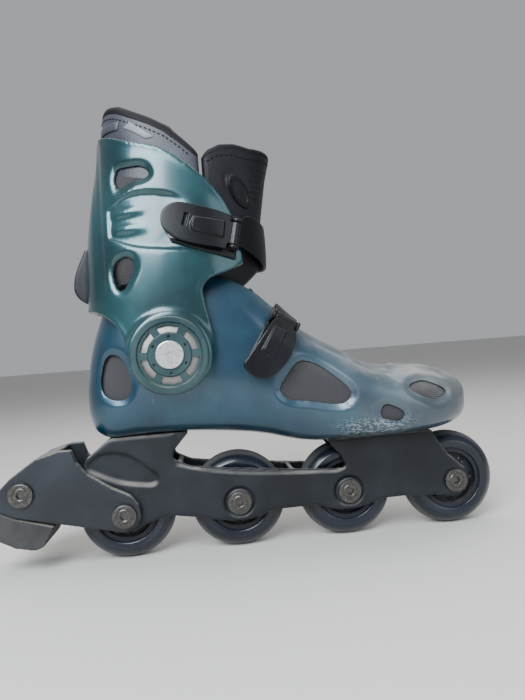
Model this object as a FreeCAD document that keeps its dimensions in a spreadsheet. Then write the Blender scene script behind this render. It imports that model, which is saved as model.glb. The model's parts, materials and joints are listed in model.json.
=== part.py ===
import FreeCAD, Part
import Sketcher
import math
import os
import re

# Inline skate for the right foot. X points to the toe, -Y is the outer side of the foot
# and Z is up. The origin is on the ground, midway between the first and last wheels.

Vector = FreeCAD.Vector

# ---------------------------------------------------------------- driving sizes, in mm
SIZES = {
    "wheel_diameter": 72,
    "wheel_width": 24,
    "wheel_gap": 10.8,
    "wheel_shoulder": 8,
    "core_diameter": 46,
    "core_width": 20,
    "bearing_diameter": 22,
    "bearing_width": 7,
    "race_wall": 1.5,
    "ball_diameter": 3.9,
    "axle_diameter": 8,
    "running_fit": 0.04,
    "head_diameter": 17,
    "head_height": 2.6,
    "socket_width": 5,
    "rail_clearance": 3.5,
    "rail_wall": 3.5,
    "deck_clearance": 4,
    "deck_thickness": 5,
    "heel_lift": 15,
    "wheel_clearance": 2.5,
    "web_thickness": 4,
    "boss_diameter": 14,
    "mount_bolt_diameter": 6,
    "nut_width": 14,
    "brake_arm": 6,
    "brake_overhang": 70,
    "pad_gap": 0.2,
    "shell_length": 290,
    "shell_width": 100,
    "boot_height": 236,
    "shell_wall": 3,
    "cuff_wall": 3.5,
    "liner_wall": 6.5,
    "soft_gap": 0.4,
    "split_radius": 66,
    "split_gap": 1.2,
    "pivot_diameter": 10,
    "pivot_head_diameter": 19,
    "ring_diameter": 52,
    "ring_height": 3.6,
    "cheek_gap": 0.5,
    "strap_thickness": 2.2,
    "base_thickness": 2.2,
    "lever_thickness": 4,
    "layer_gap": 0.3,
    "hinge_pin_diameter": 3,
    "rivet_diameter": 4,
    "rivet_head_diameter": 9,
}

# Sizes worked out from the ones above.
DERIVED = {
    "axle_spacing": "(wheel_diameter + wheel_gap)",
    "axle_height": "(wheel_diameter / 2)",
    "toe_deck": "(wheel_diameter + deck_clearance)",
    "heel_deck": "(wheel_diameter + deck_clearance + heel_lift)",
    "rail_inside": "(wheel_width / 2 + rail_clearance)",
    "rail_outside": "(wheel_width / 2 + rail_clearance + rail_wall)",
    "arm_outside": "(wheel_width / 2 + rail_clearance + rail_wall + brake_arm)",
    "rear_axle": "(-1.5 * axle_spacing)",
    "front_axle": "(1.5 * axle_spacing)",
    "bearing_bore": "(axle_diameter + 2 * running_fit)",
    "pivot_bore": "(pivot_diameter + 2 * running_fit)",
    "pivot_x": "(-82 * shell_length / 290)",
    "pivot_z": "(wheel_diameter + deck_clearance + 72 * boot_height / 236)",
    "cheek_outside": "(shell_width / 2 + 3)",
    "heel_mount": "(rear_axle + 28)",
    "toe_mount": "(front_axle - 41)",
}

doc = FreeCAD.newDocument("InlineSkate")
sheet = doc.addObject("Spreadsheet::Sheet", "Sizes")
for row, (alias, value) in enumerate(SIZES.items(), start=1):
    sheet.set("A%d" % row, alias)
    sheet.set("B%d" % row, str(value))
    sheet.setAlias("B%d" % row, alias)
doc.recompute()


def bound(expression):
    """Write an expression over size names as one that FreeCAD can read."""
    while any(re.search(r"\b%s\b" % name, expression) for name in DERIVED):
        for name, meaning in DERIVED.items():
            expression = re.sub(r"\b%s\b" % name, meaning, expression)
    return re.sub(r"\b[a-z]+(_[a-z]+)+\b", lambda word: "Sizes." + word.group(0), expression)


def number(expression):
    return float(sheet.evalExpression(bound(expression)))


# The boot's outlines are drawn for this length, width and height, and stretched to fit.
DRAWN_LENGTH = 290.0
DRAWN_WIDTH = 100.0
DRAWN_HEIGHT = 236.0
stretch_x = number("shell_length") / DRAWN_LENGTH
stretch_y = number("shell_width") / DRAWN_WIDTH
stretch_z = number("boot_height") / DRAWN_HEIGHT
toe_deck = number("toe_deck")
nodes = []


def boot(x, y, h):
    """A point of the boot: h is the height above the toe deck."""
    return Vector(x * stretch_x, y * stretch_y, toe_deck + h * stretch_z)


PIVOT = Vector(number("pivot_x"), 0, number("pivot_z"))
heel_rise = number("heel_lift") / stretch_z


# ---------------------------------------------------------------- building helpers
def keep(obj, label, material=None):
    obj.Label = label
    nodes.append(obj)
    return obj


def bind(obj, **expressions):
    for prop, expression in expressions.items():
        obj.setExpression(prop.replace("__", "."), bound(expression))
    return obj


def add(kind, name, **expressions):
    return bind(doc.addObject(kind, name), **expressions)


def move(obj, x="0", y="0", z="0"):
    for axis, expression in zip("xyz", (x, y, z)):
        obj.setExpression("Placement.Base." + axis, bound(expression))
    return obj


def turn_to_y(obj):
    """Stand a primitive that was made along Z along +Y."""
    obj.Placement = FreeCAD.Placement(Vector(), FreeCAD.Rotation(Vector(1, 0, 0), -90))
    return obj


def rod(name, x, y_start, length, z, diameter):
    """A cylinder along +Y whose sizes are expressions."""
    obj = add("Part::Cylinder", name, Radius="(%s) / 2" % diameter, Height=length)
    return move(turn_to_y(obj), x, y_start, z)


def fuse(name, *objs):
    obj = doc.addObject("Part::MultiFuse", name)
    obj.Shapes = list(objs)
    return obj


def cut(name, base, tool):
    obj = doc.addObject("Part::Cut", name)
    obj.Base = base
    obj.Tool = tool
    return obj


def group(name, *objs):
    obj = doc.addObject("Part::Compound", name)
    obj.Links = list(objs)
    return obj


def plane_of(body, role):
    return [plane for plane in body.Origin.OriginFeatures if plane.Role == role][0]


def new_sketch(body, plane, name, offset=None):
    sketch = body.newObject("Sketcher::SketchObject", name)
    sketch.AttachmentSupport = [(plane_of(body, plane), "")]
    sketch.MapMode = "FlatFace"
    if offset:
        sketch.setExpression("AttachmentOffset.Base.z", bound(offset))
    return sketch


def fix_point(sketch, edge, which, across, up):
    for kind, expression in (("DistanceX", across), ("DistanceY", up)):
        constraint = Sketcher.Constraint(kind, -1, 1, edge, which, number(expression))
        index = sketch.addConstraint(constraint)
        sketch.setExpression("Constraints[%d]" % index, bound(expression))


def draw_outline(sketch, corners):
    """Draw a closed outline of straight edges through corners given as expressions."""
    points = [Vector(number(across), number(up), 0) for across, up in corners]
    first = sketch.GeometryCount
    count = len(points)
    for i in range(count):
        sketch.addGeometry(Part.LineSegment(points[i], points[(i + 1) % count]), False)
    for i in range(count):
        following = first + (i + 1) % count
        sketch.addConstraint(Sketcher.Constraint("Coincident", first + i, 2, following, 1))
    for i, (across, up) in enumerate(corners):
        fix_point(sketch, first + i, 1, across, up)
    return sketch


def draw_circle(sketch, across, up, diameter):
    centre = Vector(number(across), number(up), 0)
    circle = Part.Circle(centre, Vector(0, 0, 1), number(diameter) / 2)
    index = sketch.addGeometry(circle, False)
    fix_point(sketch, index, 3, across, up)
    size = sketch.addConstraint(Sketcher.Constraint("Diameter", index, number(diameter)))
    sketch.setExpression("Constraints[%d]" % size, bound(diameter))
    return sketch


def both_ways(body, kind, name, sketch, length):
    """A pad or pocket that goes the same way to both sides of its sketch."""
    feature = body.newObject("PartDesign::" + kind, name)
    feature.Profile = sketch
    feature.SideType = "Symmetric"
    feature.setExpression("Length", bound(length))
    body.Tip = feature
    return feature


def revolve(body, sketch, name):
    feature = body.newObject("PartDesign::Revolution", name)
    feature.Profile = sketch
    feature.ReferenceAxis = (sketch, ["V_Axis"])
    feature.Angle = 360
    body.Tip = feature
    return feature


def pattern_round(body, feature, sketch, count, name):
    pattern = body.newObject("PartDesign::PolarPattern", name)
    pattern.Originals = [feature]
    pattern.Axis = (sketch, ["N_Axis"])
    pattern.Angle = 360
    pattern.Occurrences = count
    body.Tip = pattern
    return pattern


def shaped(label, shape):
    """A piece whose shape is worked out here from the sheet."""
    obj = doc.addObject("Part::Feature", label)
    obj.Shape = shape
    obj.Placement = FreeCAD.Placement()
    return keep(obj, label)


def outline(*runs):
    """A closed flat wire in the XZ plane. A run of two points is a straight edge and a
    longer run is a smooth curve. Each run starts where the one before it ended."""
    edges = []
    last = boot(runs[0][0][0], 0, runs[0][0][1])
    start = last
    for run in runs:
        points = [boot(x, 0, h) for x, h in run]
        if points[0].distanceToPoint(last) > 1e-6:
            points.insert(0, last)
        if len(points) == 2:
            edges.append(Part.LineSegment(*points).toShape())
        else:
            curve = Part.BSplineCurve()
            curve.interpolate(points)
            edges.append(curve.toShape())
        last = points[-1]
    if last.distanceToPoint(start) > 1e-6:
        edges.append(Part.LineSegment(last, start).toShape())
    return Part.Wire(edges)


def prism(wire, low, high):
    """The outline's block between two values of y."""
    face = Part.Face(wire)
    face.translate(Vector(0, low, 0))
    return face.extrude(Vector(0, high - low, 0))


def band(start, end, width):
    """A straight-sided strip in the XZ plane from start to end."""
    first = boot(start[0], 0, start[1])
    last = boot(end[0], 0, end[1])
    side = (last - first).cross(Vector(0, 1, 0)).normalize() * (width / 2)
    return Part.makePolygon([first + side, last + side, last - side, first - side, first + side])


SECTION_POINTS = 20
WIDE = 1.2 * number("shell_width")


def oval(place, half_a, half_up, half_down, square_up, square_down):
    """A closed curve: place(a, b) puts its flat coordinates in space."""
    points = []
    for step in range(SECTION_POINTS):
        angle = 2 * math.pi * step / SECTION_POINTS
        square = square_up if step < SECTION_POINTS / 2 else square_down
        a = math.copysign(abs(math.cos(angle)) ** (2 / square), math.cos(angle))
        b = math.copysign(abs(math.sin(angle)) ** (2 / square), math.sin(angle))
        points.append(place(a * half_a, b * (half_up if b > 0 else half_down)))
    curve = Part.BSplineCurve()
    curve.interpolate(Points=points, PeriodicFlag=True)
    return Part.Wire(curve.toShape())


# ---------------------------------------------------------------- the boot's two forms
# The foot form, from heel to toe: x, shift to the inner side, half width, sole height and
# top height. The heel block's height is added to the soles that stand on it.
FOOT_SECTIONS = [
    (-146, 0, 8, 15, 54),
    (-142, 0, 19, 6, 75),
    (-133, 0, 29, 0, 102),
    (-112, 0, 37, 0, 138),
    (-80, 0, 40, 0, 154),
    (-45, 0, 41, -3, 148),
    (-15, 0, 42, -8, 118),
    (16, 0, 44.5, -15, 84),
    (45, -1, 48, -15, 66),
    (72, -1, 50, -15, 54),
    (98, 0, 47, -14.5, 51.5),
    (120, 3, 38, -12.5, 46.5),
    (134, 5, 26, -8, 40),
    (141, 6, 15, -1, 34),
    (144, 6, 7, 7, 28),
]
WAIST = 0.42


def foot_form(inset):
    """The foot form drawn in by inset millimetres, or swelled by a negative inset."""
    wires = []
    front = FOOT_SECTIONS[-1][0]
    rear = FOOT_SECTIONS[0][0]
    squeeze = 1 - 2 * inset / ((front - rear) * stretch_x)
    for x, shift, half, sole, top in FOOT_SECTIONS:
        low = boot(0, 0, sole + heel_rise).z + inset
        high = max(boot(0, 0, top).z - inset, low + 1.5)
        middle = low + WAIST * (high - low)
        centre_x = ((x - (front + rear) / 2) * squeeze + (front + rear) / 2) * stretch_x
        centre_y = shift * stretch_y
        wide = half * stretch_y - inset

        def place(a, b):
            return Vector(centre_x, centre_y + a, middle + b)

        wires.append(oval(place, max(wide, 1.5), high - middle, middle - low, 2.5, 3.4))
    return Part.makeLoft(wires, True, False)


# The leg form, upwards: height, back x, front x and half width.
LEG_SECTIONS = [
    (30, -137, -26, 50),
    (72, -140, -20, 51),
    (110, -141, -14, 51),
    (140, -139, -10.5, 50.5),
    (170, -135.5, -11, 49),
    (205, -129.5, -14, 46.5),
    (236, -126, -18, 44.5),
    (264, -123, -22, 43),
]
# The tongue's own form, in the same way.
TONGUE_SECTIONS = [
    (100, -90, -15.5, 21),
    (120, -95, -14.8, 26),
    (145, -97, -11.8, 34.4),
    (165, -100, -8.5, 37.5),
    (188, -103, -4.5, 38.5),
    (207, -105, -0.5, 39),
    (222, -107, 3.5, 40),
    (236, -107, 5, 40),
]


def leg_form(inset, sections):
    wires = []
    for height, back, front, half in sections:
        centre = (back + front) / 2 * stretch_x
        long = (front - back) / 2 * stretch_x - inset
        level = boot(0, 0, height).z
        wide = half * stretch_y - inset

        def place(a, b):
            return Vector(centre + a, b, level)

        wires.append(oval(place, long, wide, wide, 2.4, 2.4))
    return Part.makeLoft(wires, True, False)


def layer(form, inside, outside, *more):
    """The skin between two offsets of a form, counted outwards from its surface."""
    return form(-outside, *more).cut(form(-inside, *more))


def split_cylinder(radius, wide=WIDE):
    return Part.makeCylinder(radius, 2 * wide, PIVOT - Vector(0, wide, 0), Vector(0, 1, 0))


def largest(shape):
    return max(shape.Solids, key=lambda solid: solid.Volume)


shell_wall = number("shell_wall")
cuff_wall = number("cuff_wall")
liner_wall = number("liner_wall")
soft_gap = number("soft_gap")
split_radius = number("split_radius")
split_gap = number("split_gap")
SIDES = {"outer": -1, "inner": 1}


# ---------------------------------------------------------------- wheels
def wheel_number(index):
    return "wheel_%d" % (index + 1)


def axle_x(index):
    """Wheel 1 is at the toe."""
    return "(%g * axle_spacing)" % (1.5 - index)


def make_tyre(index):
    body = doc.addObject("PartDesign::Body", "Tyre%d" % index)
    sketch = new_sketch(body, "XY_Plane", "TyreSection%d" % index)
    rim = "wheel_diameter / 2 - wheel_shoulder"
    inside = Vector(number("core_diameter") / 2, number("core_width") / 2, 0)
    side = Vector(number(rim), number("wheel_width") / 2, 0)
    crown = Vector(number("wheel_diameter") / 2, 0, 0)

    def mirrored(point):
        return Vector(point.x, -point.y, 0)

    sketch.addGeometry(Part.LineSegment(mirrored(inside), mirrored(side)), False)
    sketch.addGeometry(Part.Arc(mirrored(side), crown, side), False)
    sketch.addGeometry(Part.LineSegment(side, inside), False)
    sketch.addGeometry(Part.LineSegment(inside, mirrored(inside)), False)
    for edge, following in ((0, 1), (1, 2), (2, 3), (3, 0)):
        sketch.addConstraint(Sketcher.Constraint("Coincident", edge, 2, following, 1))
    fix_point(sketch, 0, 1, "core_diameter / 2", "-core_width / 2")
    fix_point(sketch, 1, 1, rim, "-wheel_width / 2")
    fix_point(sketch, 2, 1, rim, "wheel_width / 2")
    fix_point(sketch, 3, 1, "core_diameter / 2", "core_width / 2")
    radius = "((wheel_width / 2)^2 + wheel_shoulder^2) / (2 * wheel_shoulder)"
    size = sketch.addConstraint(Sketcher.Constraint("Radius", 1, number(radius)))
    sketch.setExpression("Constraints[%d]" % size, bound(radius))
    revolve(body, sketch, "TyreTurned%d" % index)
    move(body, axle_x(index), "0", "axle_height")
    return keep(body, wheel_number(index) + "_tyre")


def make_core(index):
    """The hard core that the tyre is cast on, with a seat for a bearing on each side."""
    body = doc.addObject("PartDesign::Body", "Core%d" % index)
    sketch = new_sketch(body, "XY_Plane", "CoreSection%d" % index)
    seat = "bearing_diameter / 2"
    hub = "bearing_diameter / 2 + 3"
    rim = "core_diameter / 2 - 3"
    stop = "wheel_width / 2 - bearing_width"
    half = [
        ("bearing_diameter / 2 - 1.5", stop), (seat, stop), (seat, "wheel_width / 2"),
        (hub, "wheel_width / 2"), (hub, "core_width / 4"), (rim, "core_width / 4"),
        (rim, "core_width / 2"), ("core_diameter / 2", "core_width / 2"),
    ]
    other = [(across, "-(%s)" % up) for across, up in reversed(half)]
    draw_outline(sketch, half + other)
    revolve(body, sketch, "CoreTurned%d" % index)
    window = new_sketch(body, "XZ_Plane", "CoreWindow%d" % index)
    draw_circle(window, "(%s + %s) / 2" % (hub, rim), "0", "(%s) - (%s) - 1" % (rim, hub))
    pocket = both_ways(body, "Pocket", "CoreWindowCut%d" % index, window, "wheel_width")
    pattern_round(body, pocket, window, 8, "CoreWindows%d" % index)
    move(body, axle_x(index), "0", "axle_height")
    return keep(body, wheel_number(index) + "_core")


def bearing_shapes():
    """The turning and the standing rings of one wheel's two bearings, about the Y axis."""
    outer = number("bearing_diameter") / 2
    wall = number("race_wall")
    bore = number("bearing_bore") / 2
    wide = number("bearing_width")
    ball = number("ball_diameter") / 2
    half = number("wheel_width") / 2
    axis = Vector(0, 1, 0)
    shield = 0.5

    def tube(radius, hole, start, length):
        base = Vector(0, start, 0)
        solid = Part.makeCylinder(radius, length, base, axis)
        return solid.cut(Part.makeCylinder(hole, length, base, axis))

    turning = []
    standing = [tube(bore + wall, bore, -(half - wide), 2 * (half - wide))]
    pitch = (outer + bore) / 2
    groove = Part.makeTorus(pitch, ball + 0.02, Vector(), axis)
    for sign in (-1, 1):
        start = half - wide if sign > 0 else -half
        middle = Vector(0, start + wide / 2, 0)
        grooved = groove.copy()
        grooved.translate(middle)
        turning.append(tube(outer, outer - wall, start, wide).cut(grooved))
        standing.append(tube(bore + wall, bore, start, wide).cut(grooved))
        for face in (start + 0.1, start + wide - shield - 0.1):
            turning.append(tube(outer - wall, bore + wall + 0.2, face, shield))
        for step in range(7):
            angle = 2 * math.pi * step / 7
            place = middle + Vector(pitch * math.cos(angle), 0, pitch * math.sin(angle))
            turning.append(Part.makeSphere(ball, place))
    return Part.makeCompound(turning), Part.makeCompound(standing)


def make_bearings(index, turning, standing):
    for suffix, shape in (("bearings", turning), ("inner_races", standing)):
        label = wheel_number(index) + "_" + suffix
        obj = doc.addObject("Part::Feature", label)
        obj.Shape = shape.copy()
        move(obj, axle_x(index), "0", "axle_height")
        keep(obj, label)


def hex_socket(name, x, y_start, z, depth):
    tool = add("Part::Prism", name, Circumradius="socket_width / sqrt(3)", Height=depth)
    tool.Polygon = 6
    return move(turn_to_y(tool), x, y_start, z)


def through_bolt(label, x, z, outside, shaft):
    """A bolt from the outer side and the screw that closes it from the inner side."""
    depth = "head_height * 0.7"
    head = rod(label + "_head", x, "-(%s) - head_height" % outside, "head_height", z, "head_diameter")
    stem = rod(label + "_stem", x, "-(%s)" % outside, "2 * (%s)" % outside, z, shaft)
    thread = "(%s) * 0.6" % shaft
    hole = rod(label + "_hole", x, "(%s) - 14" % outside, "14", z, thread)
    socket = hex_socket(label + "_socket", x, "-(%s) - head_height" % outside, z, depth)
    bored = cut(label + "_bored", fuse(label + "_whole", head, stem), hole)
    keep(cut(label, bored, socket), label + "_bolt")
    cap = rod(label + "_cap", x, outside, "head_height", z, "head_diameter")
    peg = rod(label + "_peg", x, "(%s) - 13" % outside, "13", z, thread)
    far_socket = hex_socket(
        label + "_far_socket", x, "(%s) + head_height * 0.3" % outside, z, depth
    )
    keep(cut(label + "_closer", fuse(label + "_screw_whole", cap, peg), far_socket), label + "_screw")


turning_rings, standing_rings = bearing_shapes()
for wheel in range(4):
    make_tyre(wheel)
    make_core(wheel)
    make_bearings(wheel, turning_rings, standing_rings)
    seat_side = "arm_outside" if wheel == 3 else "rail_outside"
    through_bolt("axle_%d" % (wheel + 1), axle_x(wheel), "axle_height", seat_side, "axle_diameter")


# ---------------------------------------------------------------- frame
def make_frame():
    """One moulding: two rails, a tower under the heel and one under the ball of the foot."""
    body = doc.addObject("PartDesign::Body", "Frame")
    low = "axle_height - 14"
    arch = "axle_height - 8.5"
    side = [
        ("rear_axle - 7", "heel_deck"), ("rear_axle + 50", "heel_deck"),
        ("rear_axle + 46", "heel_deck - 4"), ("rear_axle + 38", "heel_deck - 13"),
        ("rear_axle + 37", "heel_deck - 19"), ("rear_axle + 49", "toe_deck - 10"),
        ("rear_axle + 68", "toe_deck - 13"), ("front_axle - 116", "toe_deck - 20.5"),
        ("front_axle - 83", "toe_deck - 23"), ("front_axle - 88", "toe_deck - 12"),
        ("front_axle - 94", "toe_deck - 5"), ("front_axle - 96", "toe_deck"),
        ("front_axle - 15", "toe_deck"), ("front_axle - 13", "toe_deck - 5"),
        ("front_axle - 4", "axle_height + 21"), ("front_axle + 9.5", "axle_height + 8"),
        ("front_axle + 11", "axle_height - 2"), ("front_axle + 9", "axle_height - 8"),
        ("front_axle + 3", "axle_height - 11.5"), ("front_axle - 12", "axle_height - 11"),
        ("front_axle - 38", arch), ("front_axle - 56", arch),
        ("axle_spacing / 2 + 14", "axle_height - 12"), ("axle_spacing / 2 + 6", low),
        ("axle_spacing / 2 - 6", low), ("axle_spacing / 2 - 16", "axle_height - 12"),
        ("0.2 * axle_spacing", arch), ("-0.2 * axle_spacing", arch),
        ("16 - axle_spacing / 2", "axle_height - 12"), ("6 - axle_spacing / 2", low),
        ("-6 - axle_spacing / 2", low), ("-16 - axle_spacing / 2", "axle_height - 12"),
        ("rear_axle + 52", arch), ("rear_axle + 32", "axle_height - 5"),
        ("rear_axle + 15", "axle_height - 9"), ("rear_axle + 6", low),
        ("rear_axle - 8", low), ("rear_axle - 16", "axle_height - 6"),
        ("rear_axle - 24", "heel_deck - 34"), ("rear_axle - 28", "heel_deck - 19"),
        ("rear_axle - 25", "heel_deck - 13"), ("rear_axle - 12", "heel_deck - 3"),
    ]
    block = draw_outline(new_sketch(body, "XZ_Plane", "FrameSide"), side)
    both_ways(body, "Pad", "FrameBlock", block, "2 * rail_outside")
    bays = new_sketch(body, "XZ_Plane", "WheelBays")
    for index in range(4):
        ceiling = "heel_deck - deck_thickness" if index > 1 else "toe_deck - deck_thickness"
        half = "(axle_spacing / 2 - web_thickness / 2)"
        rear = "%s - %s" % (axle_x(index), half if index < 3 else "50")
        front = "%s + %s" % (axle_x(index), half if index > 0 else "50")
        corners = [(rear, "-5"), (rear, ceiling), (front, ceiling), (front, "-5")]
        draw_outline(bays, corners)
    both_ways(body, "Pocket", "WheelBayCut", bays, "2 * rail_inside")
    layouts = [
        ("Pocket", "WheelSpace", "wheel_diameter + 2 * wheel_clearance", "2 * rail_inside"),
        ("Pad", "AxleBoss", "boss_diameter", "2 * rail_inside + 0.2"),
        ("Pocket", "BearingSpace", "boss_diameter + 0.4", "wheel_width"),
        ("Pocket", "AxleBore", "axle_diameter", "4 * rail_outside"),
    ]
    for kind, name, diameter, length in layouts:
        circles = new_sketch(body, "XZ_Plane", name + "Circles")
        for index in range(4):
            draw_circle(circles, axle_x(index), "axle_height", diameter)
        both_ways(body, kind, name, circles, length)
    seats = new_sketch(body, "XZ_Plane", "NutSeats")
    for place, deck in (("heel_mount", "heel_deck"), ("toe_mount", "toe_deck")):
        top = deck + " - deck_thickness"
        draw_outline(seats, [
            (place + " - nut_width / 2", top + " - 6"), (place + " - nut_width / 2", top),
            (place + " + nut_width / 2", top), (place + " + nut_width / 2", top + " - 6"),
        ])
    both_ways(body, "Pocket", "NutSeatCut", seats, "nut_width")
    holes = new_sketch(body, "XY_Plane", "MountHoles")
    for place in ("heel_mount", "toe_mount"):
        draw_circle(holes, place, "0", "mount_bolt_diameter")
    both_ways(body, "Pocket", "MountBores", holes, "4 * heel_deck")
    return keep(body, "frame")


make_frame()


def make_mount_fasteners():
    """Two bolts go down through the sole into square nuts under the frame's decks."""
    bolts = []
    nuts = []
    for name, x, deck in (("heel", "heel_mount", "heel_deck"), ("toe", "toe_mount", "toe_deck")):
        under = "%s - deck_thickness - 6" % deck
        over = "%s + shell_wall" % deck
        stem = add("Part::Cylinder", name + "_mount_stem", Radius="mount_bolt_diameter / 2",
                   Height="deck_thickness + shell_wall + 5")
        move(stem, x, "0", "%s - deck_thickness - 5" % deck)
        head = add("Part::Cylinder", name + "_mount_head", Radius="mount_bolt_diameter * 0.95", Height="2")
        move(head, x, "0", over)
        bolts.append(fuse(name + "_mount_bolt", stem, head))
        nut = add("Part::Box", name + "_nut_block", Length="nut_width", Width="nut_width", Height="6")
        move(nut, "%s - nut_width / 2" % x, "-nut_width / 2", under)
        bore = add("Part::Cylinder", name + "_nut_bore", Radius="mount_bolt_diameter / 2", Height="8")
        move(bore, x, "0", "%s - 1" % under)
        nuts.append(cut(name + "_nut", nut, bore))
    keep(group("MountBolts", *bolts), "frame_bolts")
    keep(group("MountNuts", *nuts), "frame_nuts")


make_mount_fasteners()


# ---------------------------------------------------------------- brake
def make_brake():
    body = doc.addObject("PartDesign::Body", "BrakeHousing")
    tail = "rear_axle - brake_overhang"
    side = [
        ("rear_axle + 12", "axle_height - 2"), ("rear_axle + 8", "axle_height - 8.5"),
        ("rear_axle - 1", "axle_height - 12"), ("rear_axle - 10", "axle_height - 10"),
        ("%s + 22" % tail, "axle_height - 1"), ("%s - 6" % tail, "axle_height + 6"),
        ("%s - 18" % tail, "axle_height + 12"), ("%s - 21" % tail, "axle_height + 18"),
        ("%s - 17" % tail, "axle_height + 25"), ("%s - 7" % tail, "axle_height + 34"),
        ("%s + 11" % tail, "axle_height + 46"), ("%s + 26" % tail, "axle_height + 50"),
        ("%s + 36" % tail, "axle_height + 50"), ("%s + 39" % tail, "axle_height + 41"),
        ("rear_axle - 24", "axle_height + 32"), ("rear_axle - 8", "axle_height + 21"),
        ("rear_axle + 5", "axle_height + 14"), ("rear_axle + 11", "axle_height + 6"),
    ]
    block = draw_outline(new_sketch(body, "XZ_Plane", "BrakeSide"), side)
    both_ways(body, "Pad", "BrakeBlock", block, "2 * arm_outside")
    slot = new_sketch(body, "XZ_Plane", "BrakeSlot")
    bridge = "%s + 26" % tail
    draw_outline(slot, [
        (bridge, "-5"), (bridge, "axle_height + 80"), ("rear_axle + 30", "axle_height + 80"),
        ("rear_axle + 30", "-5"),
    ])
    both_ways(body, "Pocket", "BrakeSlotCut", slot, "2 * rail_outside")
    wheel_space = new_sketch(body, "XZ_Plane", "BrakeWheelSpace")
    draw_circle(wheel_space, "rear_axle", "axle_height", "wheel_diameter + 2 * wheel_clearance")
    both_ways(body, "Pocket", "BrakeWheelCut", wheel_space, "2 * rail_outside")
    pad_space = new_sketch(body, "XZ_Plane", "PadSpace")
    draw_outline(pad_space, [
        ("%s - 9" % tail, "axle_height - 30"), ("%s - 9" % tail, "axle_height + 28"),
        ("%s + 14" % tail, "axle_height + 28"), ("%s + 14" % tail, "axle_height - 30"),
    ])
    both_ways(body, "Pocket", "PadSpaceCut", pad_space, "2 * (rail_outside - 4)")
    bores = new_sketch(body, "XZ_Plane", "BrakeBores")
    draw_circle(bores, "rear_axle", "axle_height", "axle_diameter")
    draw_circle(bores, tail, "axle_height + 22", "mount_bolt_diameter")
    both_ways(body, "Pocket", "BrakeBoreCut", bores, "4 * arm_outside")
    keep(body, "brake_housing")

    rubber = doc.addObject("PartDesign::Body", "BrakePad")
    foot = draw_outline(new_sketch(rubber, "XZ_Plane", "PadSide"), [
        ("%s + 20.5" % tail, "axle_height - 3"), ("%s + 19" % tail, "axle_height - 6"),
        ("%s + 12" % tail, "axle_height - 17"), ("%s + 6" % tail, "axle_height - 19"),
        ("%s - 7" % tail, "axle_height - 16"), ("%s - 20" % tail, "axle_height - 9"),
        ("%s - 24" % tail, "axle_height - 2"), ("%s - 22" % tail, "axle_height + 10"),
        ("%s - 18.5" % tail, "axle_height + 11"), ("%s - 6.5" % tail, "axle_height + 5"),
    ])
    both_ways(rubber, "Pad", "PadBlock", foot, "2 * (arm_outside - 2)")
    tab = draw_outline(new_sketch(rubber, "XZ_Plane", "PadTab"), [
        ("%s - 9 + pad_gap" % tail, "axle_height - 8"),
        ("%s - 9 + pad_gap" % tail, "axle_height + 28 - pad_gap"),
        ("%s + 14 - pad_gap" % tail, "axle_height + 28 - pad_gap"),
        ("%s + 14 - pad_gap" % tail, "axle_height - 8"),
    ])
    both_ways(rubber, "Pad", "PadTabBlock", tab, "2 * (rail_outside - 4 - pad_gap)")
    bore = new_sketch(rubber, "XZ_Plane", "PadBore")
    draw_circle(bore, tail, "axle_height + 22", "mount_bolt_diameter")
    both_ways(rubber, "Pocket", "PadBoreCut", bore, "4 * arm_outside")
    # The housing's lower edge keeps its place, so the rubber is trimmed to it.
    keep(cut("PadTrimmed", rubber, body), "brake_pad")
    through_bolt("brake", tail, "axle_height + 22", "arm_outside", "mount_bolt_diameter")


make_brake()


# ---------------------------------------------------------------- shell and cuff
def both_sides(runs, near, far):
    """The same opening on the outer and the inner side of the boot."""
    wire = outline(*runs)
    return [prism(wire, -far, -near), prism(wire, near, far)]


HEEL_VENT = [[(-111, 52), (-112, 61), (-115, 69), (-119, 74), (-125, 75), (-131, 66),
              (-133, 55), (-131, 47), (-124, 43), (-115, 44), (-111, 52)]]
SIDE_VENT = [[(8, 60.5), (19, 58), (30, 50), (39, 41), (42, 34.5), (39, 30), (28, 28.5),
              (10, 32), (-4, 35.5), (-7.5, 41), (-3, 50), (8, 60.5)]]
SMALL_VENT = [[(64, 25), (72, 23.5), (78.5, 17), (77, 14), (68, 14), (61.5, 17.5), (64, 25)]]
TOE_VENT = [[(85, 36.5), (94, 39.5), (106, 36.5), (116, 29), (110, 25.5), (99, 26.5), (85, 36.5)]]
UPPER_VENT = [[(-109, 204), (-99, 203.5), (-89, 200.5), (-88, 198), (-98, 194), (-109, 189)],
              [(-109, 189), (-111, 197), (-109, 204)]]
LOWER_VENT = [[(-113, 139), (-104, 139.5), (-102, 135), (-105, 127), (-112.5, 118.5),
               (-116, 126), (-113, 139)]]
SHELL_EDGE = [[(20, 80), (6, 93), (-6, 101), (-16, 110), (-29, 118.5), (-40, 123.5), (-60, 124.5),
               (-110, 119), (-170, 100)], [(-170, 100), (-170, 300)], [(-170, 300), (20, 300)]]
CUFF_SIDE = [
    [(-150, 240), (-128, 237), (-112, 231), (-100, 223), (-80, 216), (-58, 201), (-40, 182),
     (-31, 165), (-27, 150), (-26, 133)],
    [(-26, 133), (-33, 129), (-44, 125), (-52, 121.5), (-56, 116), (-56, 110), (-54, 98), (-51, 84),
     (-52, 66), (-60, 54), (-72, 46), (-84, 44.5), (-98, 49), (-107, 60), (-110, 74)],
    [(-110, 74), (-114, 88), (-119, 96), (-126, 102), (-135, 106), (-150, 108)],
]


cheek_inside = number("shell_width") / 2 - cuff_wall - 1


def across(radius, low, high, side):
    """A cylinder about the pivot from y = low to high, on one side of the boot."""
    return Part.makeCylinder(radius, high - low, PIVOT + Vector(0, side * low, 0), Vector(0, side, 0))


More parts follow.
